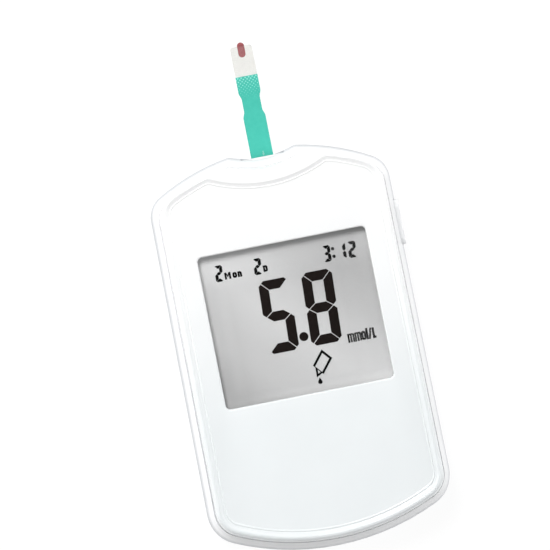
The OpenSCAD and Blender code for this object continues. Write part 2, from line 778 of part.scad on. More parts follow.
module main_board() color(board_green) difference() {
    translate([0, board_top_y - board_l / 2, board_z]) linear_extrude(board_t)
        rounded_plate(board_w, board_l, board_corner);
    for (p = screw_positions)
        translate([p[0], p[1], board_z - through]) cylinder(r = front_boss_r + 0.4, h = board_t + 2 * through);
    for (p = board_screw_positions)
        translate([p[0], p[1], board_z - through]) cylinder(d = board_screw_d + 0.3, h = board_t + 2 * through);
}

// Chip under the board with its legs along two sides
module chip(w, l, legs) {
    pitch = (l - 1) / (legs - 0.5);
    color(chip_black) block([-w / 2, -l / 2, board_z - chip_t], [w / 2, l / 2, board_z - 0.1]);
    color(metal) for (s = [-1, 1], i = [0:legs - 1])
        translate([s * (w + chip_leg_l) / 2, (i - (legs - 1) / 2) * pitch, board_z - chip_leg_t])
            cube([chip_leg_l, pitch * 0.45, 2 * chip_leg_t], center = true);
}

module processor_chip() translate(processor_at) {
    chip(processor_w, processor_w, processor_legs);
    rotate(90) chip(processor_w, processor_w, processor_legs);
}

module analog_chip() translate(analog_at) rotate(90) chip(small_chip_w, small_chip_l, small_chip_legs);

module memory_chip() translate(memory_chip_at) chip(small_chip_w, small_chip_l, small_chip_legs);

module crystal() color(metal) translate([crystal_at[0], crystal_at[1], board_z - crystal_d / 2])
    rotate([0, 90, 0]) cylinder(d = crystal_d, h = crystal_l, $fn = 32);

chip_part_l = 1.6;
chip_part_w = 0.8;
chip_part_t = 0.7;
// Places of the small parts: distance from the centre line and share of the chips' zone
chip_part_places = [[5, 0.2], [5, 0.58], [16, 0.14], [17, 0.58], [-12.5, 0.16], [-8.6, 0.62],
    [1.5, 0.86], [17, 0.36], [17, 0.46]];
module chip_parts() for (p = chip_part_places)
    translate([p[0], chip_low_y + p[1] * chip_zone_l, board_z - chip_part_t / 2]) {
        color([0.72, 0.60, 0.42]) cube([chip_part_l * 0.7, chip_part_w, chip_part_t], center = true);
        color(metal) for (s = [-1, 1]) translate([s * chip_part_l * 0.425, 0, 0])
            cube([chip_part_l * 0.15, chip_part_w, chip_part_t], center = true);
    }

module buzzer() color([0.16, 0.16, 0.17]) translate([buzzer_at[0], buzzer_at[1], board_z - buzzer_h]) difference() {
    cylinder(d = buzzer_d, h = buzzer_h);
    translate([0, 0, -through]) cylinder(d = buzzer_hole_d, h = buzzer_hole_depth + through);
}

// Block of the strip connector, with the strip's slot and a channel for each contact
module strip_connector() color([0.20, 0.20, 0.21]) difference() {
    block([-connector_w / 2, connector_back_y, strip_z - slot_gap - connector_floor],
        [connector_w / 2, connector_front_y, board_z]);
    block([-strip_w / 2 - 0.15, strip_end_y - 0.2, strip_z - slot_gap],
        [strip_w / 2 + 0.15, connector_front_y + through, slot_top_z]);
    for (k = [-1:1]) translate([k * contact_pitch, 0, 0])
        block([-contact_w / 2 - slip, connector_back_y - through, slot_top_z - through / 4],
            [contact_w / 2 + slip, connector_front_y - 0.8, board_z - 0.9]);
}

// Sprung contacts: a leg under the roof of each channel, a slope down to the strip and a lifted tip
module strip_contacts() color([0.85, 0.70, 0.35]) {
    roof = board_z - 1;
    touch = electrode_z + electrode_t + contact_lift;
    back = connector_back_y;
    tip = strip_end_y + contact_tip;
    leg = back - 2 * contact_t;
    for (k = [-1:1]) translate([k * contact_pitch - contact_w / 2, 0, 0]) rotate([90, 0, 90]) linear_extrude(contact_w)
        polygon([[leg - 1, board_z], [leg - 1, board_z - contact_t], [leg, board_z - contact_t],
            [leg, roof - contact_t], [back + contact_bend, roof - contact_t],
            [tip - contact_toe, touch], [tip + contact_toe, touch],
            [tip + 1, touch + 0.7], [tip + 0.8, touch + 0.9], [tip, touch + contact_t + 0.1],
            [back + contact_bend + contact_toe, roof], [leg + contact_t, roof], [leg + contact_t, board_z]]);
}

module port_guide() color(shell_white) difference() {
    union() {
        block([-guide_w / 2, guide_flange_y - guide_flange_t, strip_mid_z - guide_h / 2],
            [guide_w / 2, guide_y, strip_mid_z + guide_h / 2]);
        block([-guide_w / 2 - guide_flange, guide_flange_y - guide_flange_t, strip_mid_z - guide_flange_half],
            [guide_w / 2 + guide_flange, guide_flange_y, strip_mid_z + guide_flange_half]);
    }
    // slot that opens towards its mouth in width and height
    mouth_y = guide_y - guide_mouth_l;
    translate([0, 0, strip_z - slot_gap]) linear_extrude(slot_top_z - strip_z + slot_gap)
        polygon([[-guide_slot_w / 2, guide_flange_y - through], [guide_slot_w / 2, guide_flange_y - through],
            [guide_slot_w / 2, mouth_y], [guide_mouth_w / 2, guide_y + through],
            [-guide_mouth_w / 2, guide_y + through], [-guide_slot_w / 2, mouth_y]]);
    rotate([90, 0, 90]) translate([0, 0, -guide_slot_w / 2]) linear_extrude(guide_slot_w)
        polygon([[mouth_y, strip_z - slot_gap], [mouth_y, slot_top_z],
            [guide_y + through, slot_top_z + guide_mouth_h],
            [guide_y + through, strip_z - slot_gap - guide_mouth_h]]);
}

// --------------------------------------------------------------- switches

module memory_switch() color(chip_black) difference() {
    pocket = memory_plunger_in + memory_travel + slip;
    block([memory_switch_x - memory_switch_t, memory_y - memory_switch_half, memory_z - memory_plunger_d / 2 - 1],
        [memory_switch_x, memory_y + memory_switch_half, board_z]);
    translate([memory_switch_x - pocket, memory_y, memory_z]) rotate([0, 90, 0])
        cylinder(d = memory_plunger_d + 2 * slip, h = pocket + through);
}

module memory_plunger() color([0.80, 0.55, 0.25])
    translate([memory_switch_x - memory_plunger_in, memory_y, memory_z]) rotate([0, 90, 0])
        cylinder(d = memory_plunger_d, h = memory_stem_x - memory_switch_x + memory_plunger_in);

// Side button: crowned cap, flange behind the wall and a stem to the switch
module memory_button() color(shell_grey) translate([0, memory_y, memory_z]) {
    face = memory_x + memory_proud;
    intersection() {
        side_slot(memory_l, memory_h, memory_flange_x - memory_flange_t / 2, face + through);
        translate([face - crown_r, 0, 0]) rotate([90, 0, 0])
            cylinder(r = crown_r, h = memory_l + 2 * through, center = true, $fn = 96);
    }
    side_slot(memory_l + 2 * (button_gap + memory_flange), memory_flange_h,
        memory_flange_x - memory_flange_t, memory_flange_x);
    translate([memory_stem_x, 0, 0]) rotate([0, 90, 0])
        cylinder(d = memory_stem_d, h = memory_flange_x - memory_flange_t / 2 - memory_stem_x);
}

module set_switch() color(chip_black) translate([set_x, set_y, board_z - set_switch_h]) difference() {
    block([-set_switch_half, -set_switch_half, 0], [set_switch_half, set_switch_half, set_switch_h]);
    translate([0, 0, -through])
        cylinder(d = set_plunger_d + 2 * slip, h = set_plunger_in + set_travel + slip + through);
}

module set_plunger() color([0.80, 0.55, 0.25]) translate([set_x, set_y, set_stem_z])
    cylinder(d = set_plunger_d, h = board_z - set_switch_h + set_plunger_in - set_stem_z);

module set_button() color([0.30, 0.32, 0.34]) translate([set_x, set_y, 0]) {
    translate([0, 0, set_cap_z]) cylinder(d = set_d, h = set_flange_z + set_flange_t / 2 - set_cap_z);
    translate([0, 0, set_flange_z]) cylinder(r = set_flange_r, h = set_flange_t);
    translate([0, 0, set_flange_z + set_flange_t / 2])
        cylinder(d = set_stem_d, h = set_stem_z - set_flange_z - set_flange_t / 2);
}

// ------------------------------------------------------------------ cells

// Cell with its positive nub towards +Y
module cell() rotate([-90, 0, 0]) rotate_extrude()
    polygon([[0, cell_rim_h], [cell_rim_r - cell_rim_h, cell_rim_h], [cell_rim_r, 0],
        [cell_d / 2 - cell_round, 0], [cell_d / 2, cell_round],
        [cell_d / 2, cell_l - nub_l - cell_round], [cell_d / 2 - cell_round, cell_l - nub_l],
        [nub_r, cell_l - nub_l], [nub_r, cell_l - 0.2], [nub_r - 0.2, cell_l], [0, cell_l]]);

module battery_1() color([0.30, 0.45, 0.70])
    translate([-cell_x, bay_top_y - plate_t - cell_l, cell_z]) cell();

module battery_2() color([0.30, 0.45, 0.70])
    translate([cell_x, bay_low_y + plate_t + cell_l, cell_z]) rotate(180) cell();

// Conical spring along +Y: wire swept along a helix that narrows towards the cell
module cell_spring() {
    turns = 3;
    rings = 36;
    sides = 6;
    wire = spring_wire / 2;
    lift = spring_l - spring_wire - 2 * spring_play;
    path = [for (i = [0:rings])
        let (t = i / rings, r = spring_r * (1 - t) + spring_tip_r * t, a = 360 * turns * t)
        [r * cos(a), wire + spring_play + lift * t, r * sin(a)]];
    points = [for (i = [0:rings]) let (a = 360 * turns * i / rings, out = [cos(a), 0, sin(a)])
        each [for (k = [0:sides - 1]) path[i] + wire * (cos(60 * k) * out + sin(60 * k) * [0, 1, 0])]];
    faces = [for (i = [0:rings - 1], k = [0:sides - 1])
        let (m = (k + 1) % sides, a = i * sides + k, b = i * sides + m)
        each [[a, b, a + sides], [b, b + sides, a + sides]]];
    polyhedron(points, concat([[for (k = [sides - 1:-1:0]) k]], faces,
        [[for (k = [0:sides - 1]) rings * sides + k]]), convexity = 8);
}

module battery_springs() color(metal) {
    translate([-cell_x, bay_low_y + plate_t, cell_z]) cell_spring();
    translate([cell_x, bay_top_y - plate_t, cell_z]) rotate(180) cell_spring();
}

module bridge_plate() color(metal)
    block([-bay_half + 1, bay_low_y, cell_z - plate_half], [bay_half - 1, bay_low_y + plate_t, cell_z + plate_half]);

// End plate of one cell with its tail up to the board
module terminal(x) color(metal) {
    block([x - terminal_half, bay_top_y - plate_t, cell_z - plate_half],
        [x + terminal_half, bay_top_y, cell_z + plate_half]);
    block([x - terminal_w / 2, bay_top_y - plate_t, cell_z], [x + terminal_w / 2, bay_top_y, board_z]);
}

module positive_terminal() terminal(-cell_x);

module negative_terminal() terminal(cell_x);

// ----------------------------------------------------------------- screws

module screw(d, l, head_d, head_h) {
    difference() {
        translate([0, 0, -head_h]) cylinder(d = head_d, h = head_h);
        for (a = [0, 90]) rotate(a) translate([0, 0, -head_h])
            cube([head_d * 0.6, head_d * 0.16, head_h], center = true);
    }
    cylinder(d = d, h = l);
}

module case_screws() color(metal) for (p = screw_positions)
    translate([p[0], p[1], screw_seat_z]) screw(screw_d, screw_l, screw_head_d, screw_head_h);

module board_screws() color(metal) for (p = board_screw_positions)
    translate([p[0], p[1], board_z]) screw(board_screw_d, board_screw_l, board_head_d, board_head_h);

// ------------------------------------------------------------------- door

module battery_door() color(shell_grey) difference() {
    union() {
        intersection() {
            loft(concat(outer_levels, tongue_levels, inner_levels));
            door_zone(0);
        }
        for (s = [0, 1]) mirror([s, 0, 0]) {
            block([door_w / 2 - runner_web - slip, runner_low_y, wall / 2],
                [door_w / 2 - slip, door_top_y - runner_end, runner_z + runner_t]);
            block([door_w / 2 - runner_web - slip, runner_low_y, runner_z],
                [door_w / 2 + runner_reach, door_top_y - runner_end, runner_z + runner_t]);
        }
    }
    for (i = [0:grip_count - 1]) translate([0, grip_low_y + grip_pitch * i, 0]) rotate([0, 90, 0])
        cylinder(d = grip_d, h = grip_w, center = true, $fn = 24);
}

// ------------------------------------------------------------------ strip

// Half width of the strip at a distance from the port
function strip_half(d) = d < 0 ? strip_w / 2 : strip_w / 2 + (strip_tip_w - strip_w) / 2 * d / strip_out;

// How far the waist draws in each edge at a distance from the port
function waist(d) =
    let (u = min(1, max(0, (waist_l / 2 - abs(d - waist_y)) / waist_ramp)))
    waist_d * u * u * (3 - 2 * u);

// Strip outline between two distances from the port
module strip_outline(d0, d1, tip_round) {
    ramp = [for (i = [0:6]) waist_l / 2 - waist_ramp * i / 6];
    places = concat([for (r = ramp) waist_y - r], [for (i = [6:-1:0]) waist_y + ramp[i]]);
    side = concat([[strip_half(d0), d0]],
        [for (d = places) if (d > d0 && d < d1) [strip_half(d) - waist(d), d]],
        arc([strip_half(d1) - tip_round, d1 - tip_round], tip_round, 0, 90, 4));
    translate([0, port_y]) polygon(concat(side, [for (i = [len(side) - 1:-1:0]) [-side[i][0], side[i][1]]]));
}

module layer(z, t) translate([0, 0, z]) linear_extrude(t) children();

// Sample channel, open at the strip's tip
module channel() translate([0, strip_tip_y - sample_l + sample_w / 2]) {
    circle(sample_w / 2);
    translate([-sample_w / 2, 0]) square([sample_w, sample_l + through]);
}

module strip_base() color([0.93, 0.94, 0.94]) layer(strip_z, base_t)
    strip_outline(-strip_in, strip_out, tip_round);

module strip_electrodes() color([0.25, 0.25, 0.27]) layer(electrode_z, electrode_t) for (k = [-1:1])
    translate([k * contact_pitch - electrode_w / 2, strip_end_y])
        square([electrode_w, strip_in + strip_out - electrode_stop]);

module strip_spacer() color([0.92, 0.94, 0.94]) layer(spacer_z, spacer_t) difference() {
    strip_outline(contact_l - strip_in, strip_out, tip_round);
    channel();
}

module strip_cover() color(strip_teal) layer(cover_z, cover_t)
    strip_outline(contact_l - strip_in, strip_out - strip_tip_l, cover_round);

module strip_tip_film() color([0.93, 0.95, 0.95, 0.6]) layer(cover_z, tip_film_t) intersection() {
    strip_outline(0, strip_out, tip_round);
    translate([-strip_w, strip_tip_y - strip_tip_l]) square([2 * strip_w, strip_tip_l + through]);
}

// Sample in the channel, with the bead that stands out of the channel's mouth
module blood_sample() color(blood_red) {
    layer(spacer_z, spacer_t) intersection() {
        channel();
        translate([-sample_w / 2, strip_tip_y - sample_l]) square([sample_w, sample_l + bead_h]);
    }
    intersection() {
        translate([0, strip_tip_y, strip_mid_z]) rotate_extrude()
            polygon([for (i = [0:6]) let (a = 30 * i - 90) [sample_w / 2 * cos(a), bead_h * sin(a)]]);
        block([-sample_w, strip_tip_y, strip_z], [sample_w, strip_tip_y + sample_w, cover_z + cover_t]);
    }
}

front_cover();
back_cover();
display_lens();
lcd_front_polarizer();
lcd_front_glass();
lcd_segments();
lcd_rear_glass();
lcd_rear_polarizer();
lcd_holder();
zebra_connector();
main_board();
processor_chip();
analog_chip();
memory_chip();
crystal();
chip_parts();
strip_connector();
strip_contacts();
port_guide();
buzzer();
memory_switch();
set_switch();
battery_1();
battery_2();
battery_springs();
bridge_plate();
positive_terminal();
negative_terminal();
case_screws();
board_screws();
battery_door();
memory_button();
memory_plunger();
set_button();
set_plunger();
strip_base();
strip_electrodes();
strip_spacer();
strip_cover();
strip_tip_film();
blood_sample();
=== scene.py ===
"""Blood glucose meter lying on its back on a pale floor, with a used test strip in its port."""

import json
import math

import bmesh
import bpy
from mathutils import Matrix, Vector

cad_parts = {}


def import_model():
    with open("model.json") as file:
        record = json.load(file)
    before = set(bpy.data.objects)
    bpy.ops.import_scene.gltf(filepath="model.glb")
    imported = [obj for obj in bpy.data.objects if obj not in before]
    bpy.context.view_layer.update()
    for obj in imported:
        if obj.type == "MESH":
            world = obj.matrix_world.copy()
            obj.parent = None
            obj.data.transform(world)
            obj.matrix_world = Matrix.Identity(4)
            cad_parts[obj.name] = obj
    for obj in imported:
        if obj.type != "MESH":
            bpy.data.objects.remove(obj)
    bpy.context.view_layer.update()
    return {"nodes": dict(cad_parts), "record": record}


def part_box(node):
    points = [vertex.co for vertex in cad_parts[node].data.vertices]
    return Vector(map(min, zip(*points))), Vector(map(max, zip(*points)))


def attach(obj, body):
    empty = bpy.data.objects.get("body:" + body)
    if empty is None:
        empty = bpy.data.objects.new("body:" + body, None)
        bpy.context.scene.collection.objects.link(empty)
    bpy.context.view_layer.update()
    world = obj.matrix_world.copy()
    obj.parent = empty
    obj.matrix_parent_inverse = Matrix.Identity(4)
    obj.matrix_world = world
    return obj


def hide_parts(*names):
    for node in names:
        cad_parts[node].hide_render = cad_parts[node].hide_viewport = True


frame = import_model()
nodes = frame["nodes"]

MM = 0.001

# Housing, in millimetres, with the origin on its back below the window's middle
BODY_W = 61.8
BODY_TAPER = 1  # how much narrower the strip end is
BODY_L = 101.2
CROWN_Y = 43  # top of the strip end's arch
BODY_H = 24.5
WALL = 1.8
SEAM_Z = 17.5  # parting line
SEAM_INSET = 1.8  # from the widest outline to the parting line
END_DRAW = 1.28  # how far the ends come in for each millimetre at the sides
ARCH_R = 55  # strip end
BASE_R = 62  # bottom end
ARCH_CORNER = 6.5
BASE_CORNER = 8.75
NOTCH_R = 23.7  # dip of the strip end at the port
NOTCH_DEPTH = 2.15
PEAK_R = 2  # between the arch and the notch
GROOVE_D = 0.4  # shadow groove in the parting line
SEAM_GAP = 0.32
FOOT_EDGE = 0.12  # rounding of the front cover's foot
TONGUE_H = 1.2
SLIP = 0.1

# Face
PANEL_STEP = 0.5  # from the shoulder's top down to the face
PANEL_INSET = 3.5  # from the widest outline to the panel's
PANEL_END_DRAW = 1.22
RIM_OUTER = 0.78  # width of the slope from the shoulder to the ledge
RIM_LEDGE = 0.42
RIM_INNER = 0.35  # width of the slope from the ledge to the face
RIM_LOW_STEP = 0.15  # height of the ledge above the face
RIM_GROOVE = 0.12  # depth of the groove in the ledge
SHOULDER_SQUARE = 0.7  # 1 is a quarter ellipse, less is squarer
PANEL_DROP = 3  # from the housing's arch to the panel's
SCOOP_R = 32.6
SCOOP_DEPTH = 5.5
PANEL_CORNER = 5
PANEL_PEAK_R = 3
WINDOW_SIDE = 9.8  # from the housing's side to the window
WINDOW_L = 38.1
WINDOW_R = 1.2
WINDOW_BEVEL = 0.45

ARCH_Y = CROWN_Y - ARCH_R
BASE_Y = CROWN_Y - BODY_L + BASE_R
NOTCH_Y = CROWN_Y - NOTCH_DEPTH
FACE_Z = BODY_H - PANEL_STEP
CEILING_Z = FACE_Z - WALL
WINDOW_W = BODY_W - 2 * WINDOW_SIDE

# Straight stretches in each arc of an outline, and rings in each curve between outlines
ARC_STEPS = 18
CORNER_STEPS = 12
PEAK_STEPS = 6
SHOULDER_STEPS = 20
RIM_STEPS = 7
FOOT_STEPS = 3
WINDOW_STEPS = 6

SHARP_ANGLE = 35  # edges of a made piece stay sharp above this many degrees


# ---------------------------------------------------------------- outlines


def arc(centre, radius, start, end, steps):
    """Points of an arc, without its first point. Angles are in radians."""
    angles = [start + (end - start) * i / steps for i in range(1, steps + 1)]
    return [(centre[0] + radius * math.cos(a), centre[1] + radius * math.sin(a)) for a in angles]


def half_outline(low_half, top_half, arch, top_corner, notch, peak, base, low_corner):
    """Right half of an outline, from the middle of the bottom end to the middle of the strip end.

    arch, notch and base are (height of the centre, radius) of the three arcs on the centre line.
    """
    base_y, base_r = base
    arch_y, arch_r = arch
    notch_y, notch_r = notch
    low_x = low_half - low_corner
    low_y = base_y - math.sqrt((base_r - low_corner) ** 2 - low_x**2)
    low_a = math.atan2(low_y - base_y, low_x)
    top_x = top_half - top_corner
    top_y = arch_y + math.sqrt((arch_r - top_corner) ** 2 - top_x**2)
    top_a = math.atan2(top_y - arch_y, top_x)
    peak_y = (arch_r - peak) ** 2 - (notch_r + peak) ** 2 + notch_y**2 - arch_y**2
    peak_y /= 2 * (notch_y - arch_y)
    peak_x = math.sqrt((arch_r - peak) ** 2 - (peak_y - arch_y) ** 2)
    peak_a = math.atan2(peak_y - arch_y, peak_x)
    notch_a = math.atan2(peak_y - notch_y, peak_x)
    return (
        [(0, base_y - base_r)]
        + arc((0, base_y), base_r, -math.pi / 2, low_a, ARC_STEPS)
        + arc((low_x, low_y), low_corner, low_a, 0, CORNER_STEPS)
        + [(top_half, top_y)]
        + arc((top_x, top_y), top_corner, 0, top_a, CORNER_STEPS)
        + arc((0, arch_y), arch_r, top_a, peak_a, ARC_STEPS)
        + arc((peak_x, peak_y), peak, peak_a, notch_a + math.pi, PEAK_STEPS)
        + arc((0, notch_y), notch_r, notch_a, -math.pi / 2, ARC_STEPS)
    )


def mirrored(half):
    """Whole outline from its right half."""
    return half + [(-x, y) for x, y in reversed(half[1:-1])]


def housing(inset):
    """Outline of the housing, drawn in by an inset at the sides."""
    draw = inset * END_DRAW
    return mirrored(
        half_outline(
            BODY_W / 2 - inset,
            (BODY_W - BODY_TAPER) / 2 - inset,
            (ARCH_Y, ARCH_R - draw),
            max(ARCH_CORNER - inset, 0.8),
            (NOTCH_Y + NOTCH_R, NOTCH_R + draw),
            max(PEAK_R - inset, 0.5),
            (BASE_Y, BASE_R - draw),
            max(BASE_CORNER - inset, 1),
        )
    )


def panel(inset):
    """Outline of the face panel, drawn in by an inset."""
    side = PANEL_INSET + inset
    crown = CROWN_Y - PANEL_DROP
    return mirrored(
        half_outline(
            BODY_W / 2 - side,
            (BODY_W - BODY_TAPER) / 2 - side,
            (ARCH_Y - PANEL_DROP, ARCH_R - inset),
            max(PANEL_CORNER - inset, 0.8),
            (crown - SCOOP_DEPTH + SCOOP_R, SCOOP_R + inset),
            max(PANEL_PEAK_R - inset, 0.5),
            (BASE_Y, BASE_R - side * PANEL_END_DRAW),
            max(BASE_CORNER - side, 1),
        )
    )


def blend(a, b, t):
    """Outline between two outlines with the same number of points."""
    return [(p[0] * (1 - t) + q[0] * t, p[1] * (1 - t) + q[1] * t) for p, q in zip(a, b)]


def rounded_rectangle(w, l, r, steps=8):
    """Outline of a rectangle with round corners, centred on the origin."""
    corners = [(1, -1, -90), (1, 1, 0), (-1, 1, 90), (-1, -1, 180)]
    points = []
    for x, y, start in corners:
        centre = (x * (w / 2 - r), y * (l / 2 - r))
        points.append(arc(centre, r, math.radians(start), math.radians(start + 90), steps))
        points[-1].insert(0, (centre[0] + r * math.cos(math.radians(start)),
                              centre[1] + r * math.sin(math.radians(start))))
    return [p for corner in points for p in corner]


# --------------------------------------------------------------- materials


def colour(r, g, b):
    """Linear colour of an sRGB colour given as 0 to 255."""
    def linear(c):
        c /= 255
        return c / 12.92 if c <= 0.04045 else ((c + 0.055) / 1.055) ** 2.4
    return (linear(r), linear(g), linear(b), 1)


def grey(value):
    """Linear grey of an sRGB value given as 0 to 255."""
    return colour(value, value, value)


class Material:
    """A node material that starts as a Principled shader with its output."""

    def __init__(self, name, roughness, **sockets):
        self.material = bpy.data.materials.new(name)
        self.material.use_nodes = True
        self.nodes = self.material.node_tree.nodes
        self.links = self.material.node_tree.links
        self.shader = self.nodes["Principled BSDF"]
        self.shader.inputs["Roughness"].default_value = roughness
        for socket, value in sockets.items():
            self.shader.inputs[socket.replace("_", " ")].default_value = value

    def node(self, kind, **values):
        """New node. Each value goes to the input of that name, or else to the node's setting."""
        node = self.nodes.new(kind)
        for key, value in values.items():
            if key in node.inputs:
                node.inputs[key].default_value = value
            else:
                setattr(node, key, value)
        return node

    def noise(self, size, detail=3.0, stretch=(1, 1, 1)):
        """Noise over the object's own coordinates, with features about size millimetres across."""
        place = self.node("ShaderNodeTexCoord")
        scale = self.node("ShaderNodeMapping")
        scale.inputs["Scale"].default_value = [s / (size * MM) for s in stretch]
        noise = self.node("ShaderNodeTexNoise", Scale=1.0, Detail=detail)
        self.links.new(place.outputs["Object"], scale.inputs["Vector"])
        self.links.new(scale.outputs["Vector"], noise.inputs["Vector"])
        return noise.outputs["Fac"]

    def ramp(self, factor, *stops):
        """Colour ramp through (place, colour) stops."""
        ramp = self.node("ShaderNodeValToRGB")
        elements = ramp.color_ramp.elements
        while len(elements) < len(stops):
            elements.new(0.5)
        for element, (place, value) in zip(elements, stops):
            element.position = place
            element.color = value
        self.links.new(factor, ramp.inputs["Fac"])
        return ramp.outputs["Color"]

    def along(self, axis, start, end):
        """0 at start and 1 at end, in millimetres along an axis of the object."""
        place = self.node("ShaderNodeTexCoord")
        split = self.node("ShaderNodeSeparateXYZ")
        span = self.node("ShaderNodeMapRange")
        span.inputs["From Min"].default_value = start * MM
        span.inputs["From Max"].default_value = end * MM
        self.links.new(place.outputs["Object"], split.inputs["Vector"])
        self.links.new(split.outputs[axis], span.inputs["Value"])
        return span.outputs["Result"]

    def mixed(self, factor, a, b, mode="MIX"):
        """Colour a mixed with colour b: each is a socket or a value."""
        mix = self.node("ShaderNodeMix", data_type="RGBA", blend_type=mode)
        for socket, value in ((mix.inputs[0], factor), (mix.inputs[6], a), (mix.inputs[7], b)):
            if isinstance(value, bpy.types.NodeSocket):
                self.links.new(value, socket)
            else:
                socket.default_value = value
        return mix.outputs[2]

    def base(self, socket):
        """Base colour from a socket."""
        self.links.new(socket, self.shader.inputs["Base Color"])

    def rough(self, factor, low, high):
        """Roughness that wanders between two values."""
        span = self.node("ShaderNodeMapRange")
        span.inputs["To Min"].default_value = low
        span.inputs["To Max"].default_value = high
        self.links.new(factor, span.inputs["Value"])
        self.links.new(span.outputs["Result"], self.shader.inputs["Roughness"])

    def bump(self, height, depth, strength=1.0):
        """Bump from a 0 to 1 height that stands for a depth in millimetres."""
        bump = self.node("ShaderNodeBump", Strength=strength, Distance=depth * MM)
        self.links.new(height, bump.inputs["Height"])
        self.links.new(bump.outputs["Normal"], self.shader.inputs["Normal"])


def plastic(name, light, dark, roughness, grain, depth):
    """Moulded plastic: faint clouding of its colour and a fine spark-eroded grain."""
    material = Material(name, roughness)
    cloud = material.noise(9, 2)
    material.base(material.ramp(cloud, (0.3, dark), (0.7, light)))
    material.rough(material.noise(1.5), roughness - 0.04, roughness + 0.05)
    material.bump(material.noise(grain, 2), depth)
    return material.material


def gloss_white():
    """Glossy white face, with painted shade towards the bottom end and a painted shadow at the
    parting line.
    """
    material = Material("gloss_white", 0.22, Specular_IOR_Level=0.35)
    cloud = material.ramp(material.noise(12, 2), (0.3, grey(249)), (0.7, grey(251)))
    # Painted shade: the face turns darker and a little cooler towards the bottom end.
    tint = material.mixed(material.along("Y", 24, -24), grey(255), colour(238, 242, 243))
    # Painted shadow along the parting line, darker towards the bottom end.
    depth = material.mixed(material.along("Y", 5, -45), grey(238), grey(190))
    line = material.mixed(material.along("Z", SEAM_Z + 0.6, SEAM_Z + 0.1), grey(255), depth)
    painted_shade_cloud = material.mixed(1.0, cloud, tint, "MULTIPLY")
    material.base(material.mixed(1.0, painted_shade_cloud, line, "MULTIPLY"))
    material.rough(material.noise(2.5), 0.2, 0.26)
    material.bump(material.noise(1.2, 2), 0.004, 0.4)
    return material.material


def satin_white():
    """Satin white of the back cover, with painted shade that greys it below its widest level."""
    material = Material("satin_white", 0.36, Specular_IOR_Level=0.3)
    cloud = material.ramp(material.noise(9, 2),
                          (0.3, colour(244, 245, 246)), (0.7, colour(249, 249, 250)))
    # Painted shade: greyer below the widest level, towards the floor.
    tint = material.mixed(material.along("Z", 15, 12), grey(255), colour(200, 203, 206))
    material.base(material.mixed(1.0, cloud, tint, "MULTIPLY"))
    material.rough(material.noise(1.5), 0.32, 0.41)
    material.bump(material.noise(0.35, 2), 0.01)
    return material.material


def clear_plastic(name, tint, alpha, roughness, edge_alpha=0.35):
    """Clear sheet that hides little from above and more at a glancing angle."""
    material = Material(name, roughness, Specular_IOR_Level=0.6)
    material.shader.inputs["Base Color"].default_value = tint
    facing = material.node("ShaderNodeLayerWeight", Blend=0.25)
    span = material.node("ShaderNodeMapRange")
    span.inputs["To Min"].default_value = alpha
    span.inputs["To Max"].default_value = edge_alpha
    material.links.new(facing.outputs["Facing"], span.inputs["Value"])
    material.links.new(span.outputs["Result"], material.shader.inputs["Alpha"])
    material.bump(material.noise(3, 1), 0.002, 0.2)
    return material.material


# Painted sheen of the display's reflector: half the length of the slanted stretch it is given over,
# its greys along that stretch, and the painted light that lifts each border (axis, start, end,
# factor)
PAINTED_SHEEN_HALF = 26
PAINTED_SHEEN_ANGLE = -45
PAINTED_SHEEN_GREYS = ((0.04, 197), (0.12, 209), (0.2, 219), (0.3, 223), (0.45, 234),
               (0.52, 231), (0.62, 224), (0.7, 213), (0.84, 201), (1, 200))
PAINTED_BORDER_LIGHT = (("X", WINDOW_W / 2 - 8, WINDOW_W / 2, 1.2),
                ("X", 6 - WINDOW_W / 2, -WINDOW_W / 2, 1.25),
                ("Y", WINDOW_L / 2 - 9, WINDOW_L / 2 - 4, 1.15),
                ("Y", 2.5 - WINDOW_L / 2, -WINDOW_L / 2, 1.15))


def reflector_grey():
    """Satin grey of the display, with a painted sheen band, painted light at its borders and a
    painted glow.
    """
    material = Material("reflector_grey", 0.5, Specular_IOR_Level=0.2, Emission_Strength=0.09)
    place = material.node("ShaderNodeTexCoord")
    turned = material.node("ShaderNodeMapping")
    turned.inputs["Rotation"].default_value = (0, 0, math.radians(PAINTED_SHEEN_ANGLE))
    split = material.node("ShaderNodeSeparateXYZ")
    span = material.node("ShaderNodeMapRange")
    span.inputs["From Min"].default_value = -PAINTED_SHEEN_HALF * MM
    span.inputs["From Max"].default_value = PAINTED_SHEEN_HALF * MM
    material.links.new(place.outputs["Object"], turned.inputs["Vector"])
    material.links.new(turned.outputs["Vector"], split.inputs["Vector"])
    material.links.new(split.outputs["X"], span.inputs["Value"])
    painted_sheen = material.ramp(span.outputs["Result"], *((at, grey(value)) for at, value in PAINTED_SHEEN_GREYS))
    speckle = material.noise(0.18, 1)
    shade = material.mixed(0.05, painted_sheen, material.ramp(speckle, (0.4, grey(120)), (0.6, grey(255))))
    # Painted light: each border is lifted against the shade that the window's recess casts on it.
    for axis, start, end, painted_lift in PAINTED_BORDER_LIGHT:
        painted_lifted = material.mixed(1.0, shade, (painted_lift, painted_lift, painted_lift, 1), "MULTIPLY")
        shade = material.mixed(material.along(axis, start, end), shade, painted_lifted)
    material.base(shade)
    # Painted glow: the display gives off a little light of its own grey, which softens the recess's
    # shade.
    material.links.new(shade, material.shader.inputs["Emission Color"])
    material.bump(speckle, 0.01, 0.3)
    return material.material


def printed(name, light, dark, roughness=0.4, grain=0.2, shine=0.5):
    """Printed or dyed film with a faint mottle."""
    material = Material(name, roughness, Specular_IOR_Level=shine)
    material.base(material.ramp(material.noise(grain, 2), (0.35, dark), (0.65, light)))
    material.bump(material.noise(grain, 2), 0.006, 0.4)
    return material.material


DOT_PITCH = 0.66
DOT_FADE = (0.5, 6)  # where the light dots start and end, from the tip end of the teal film


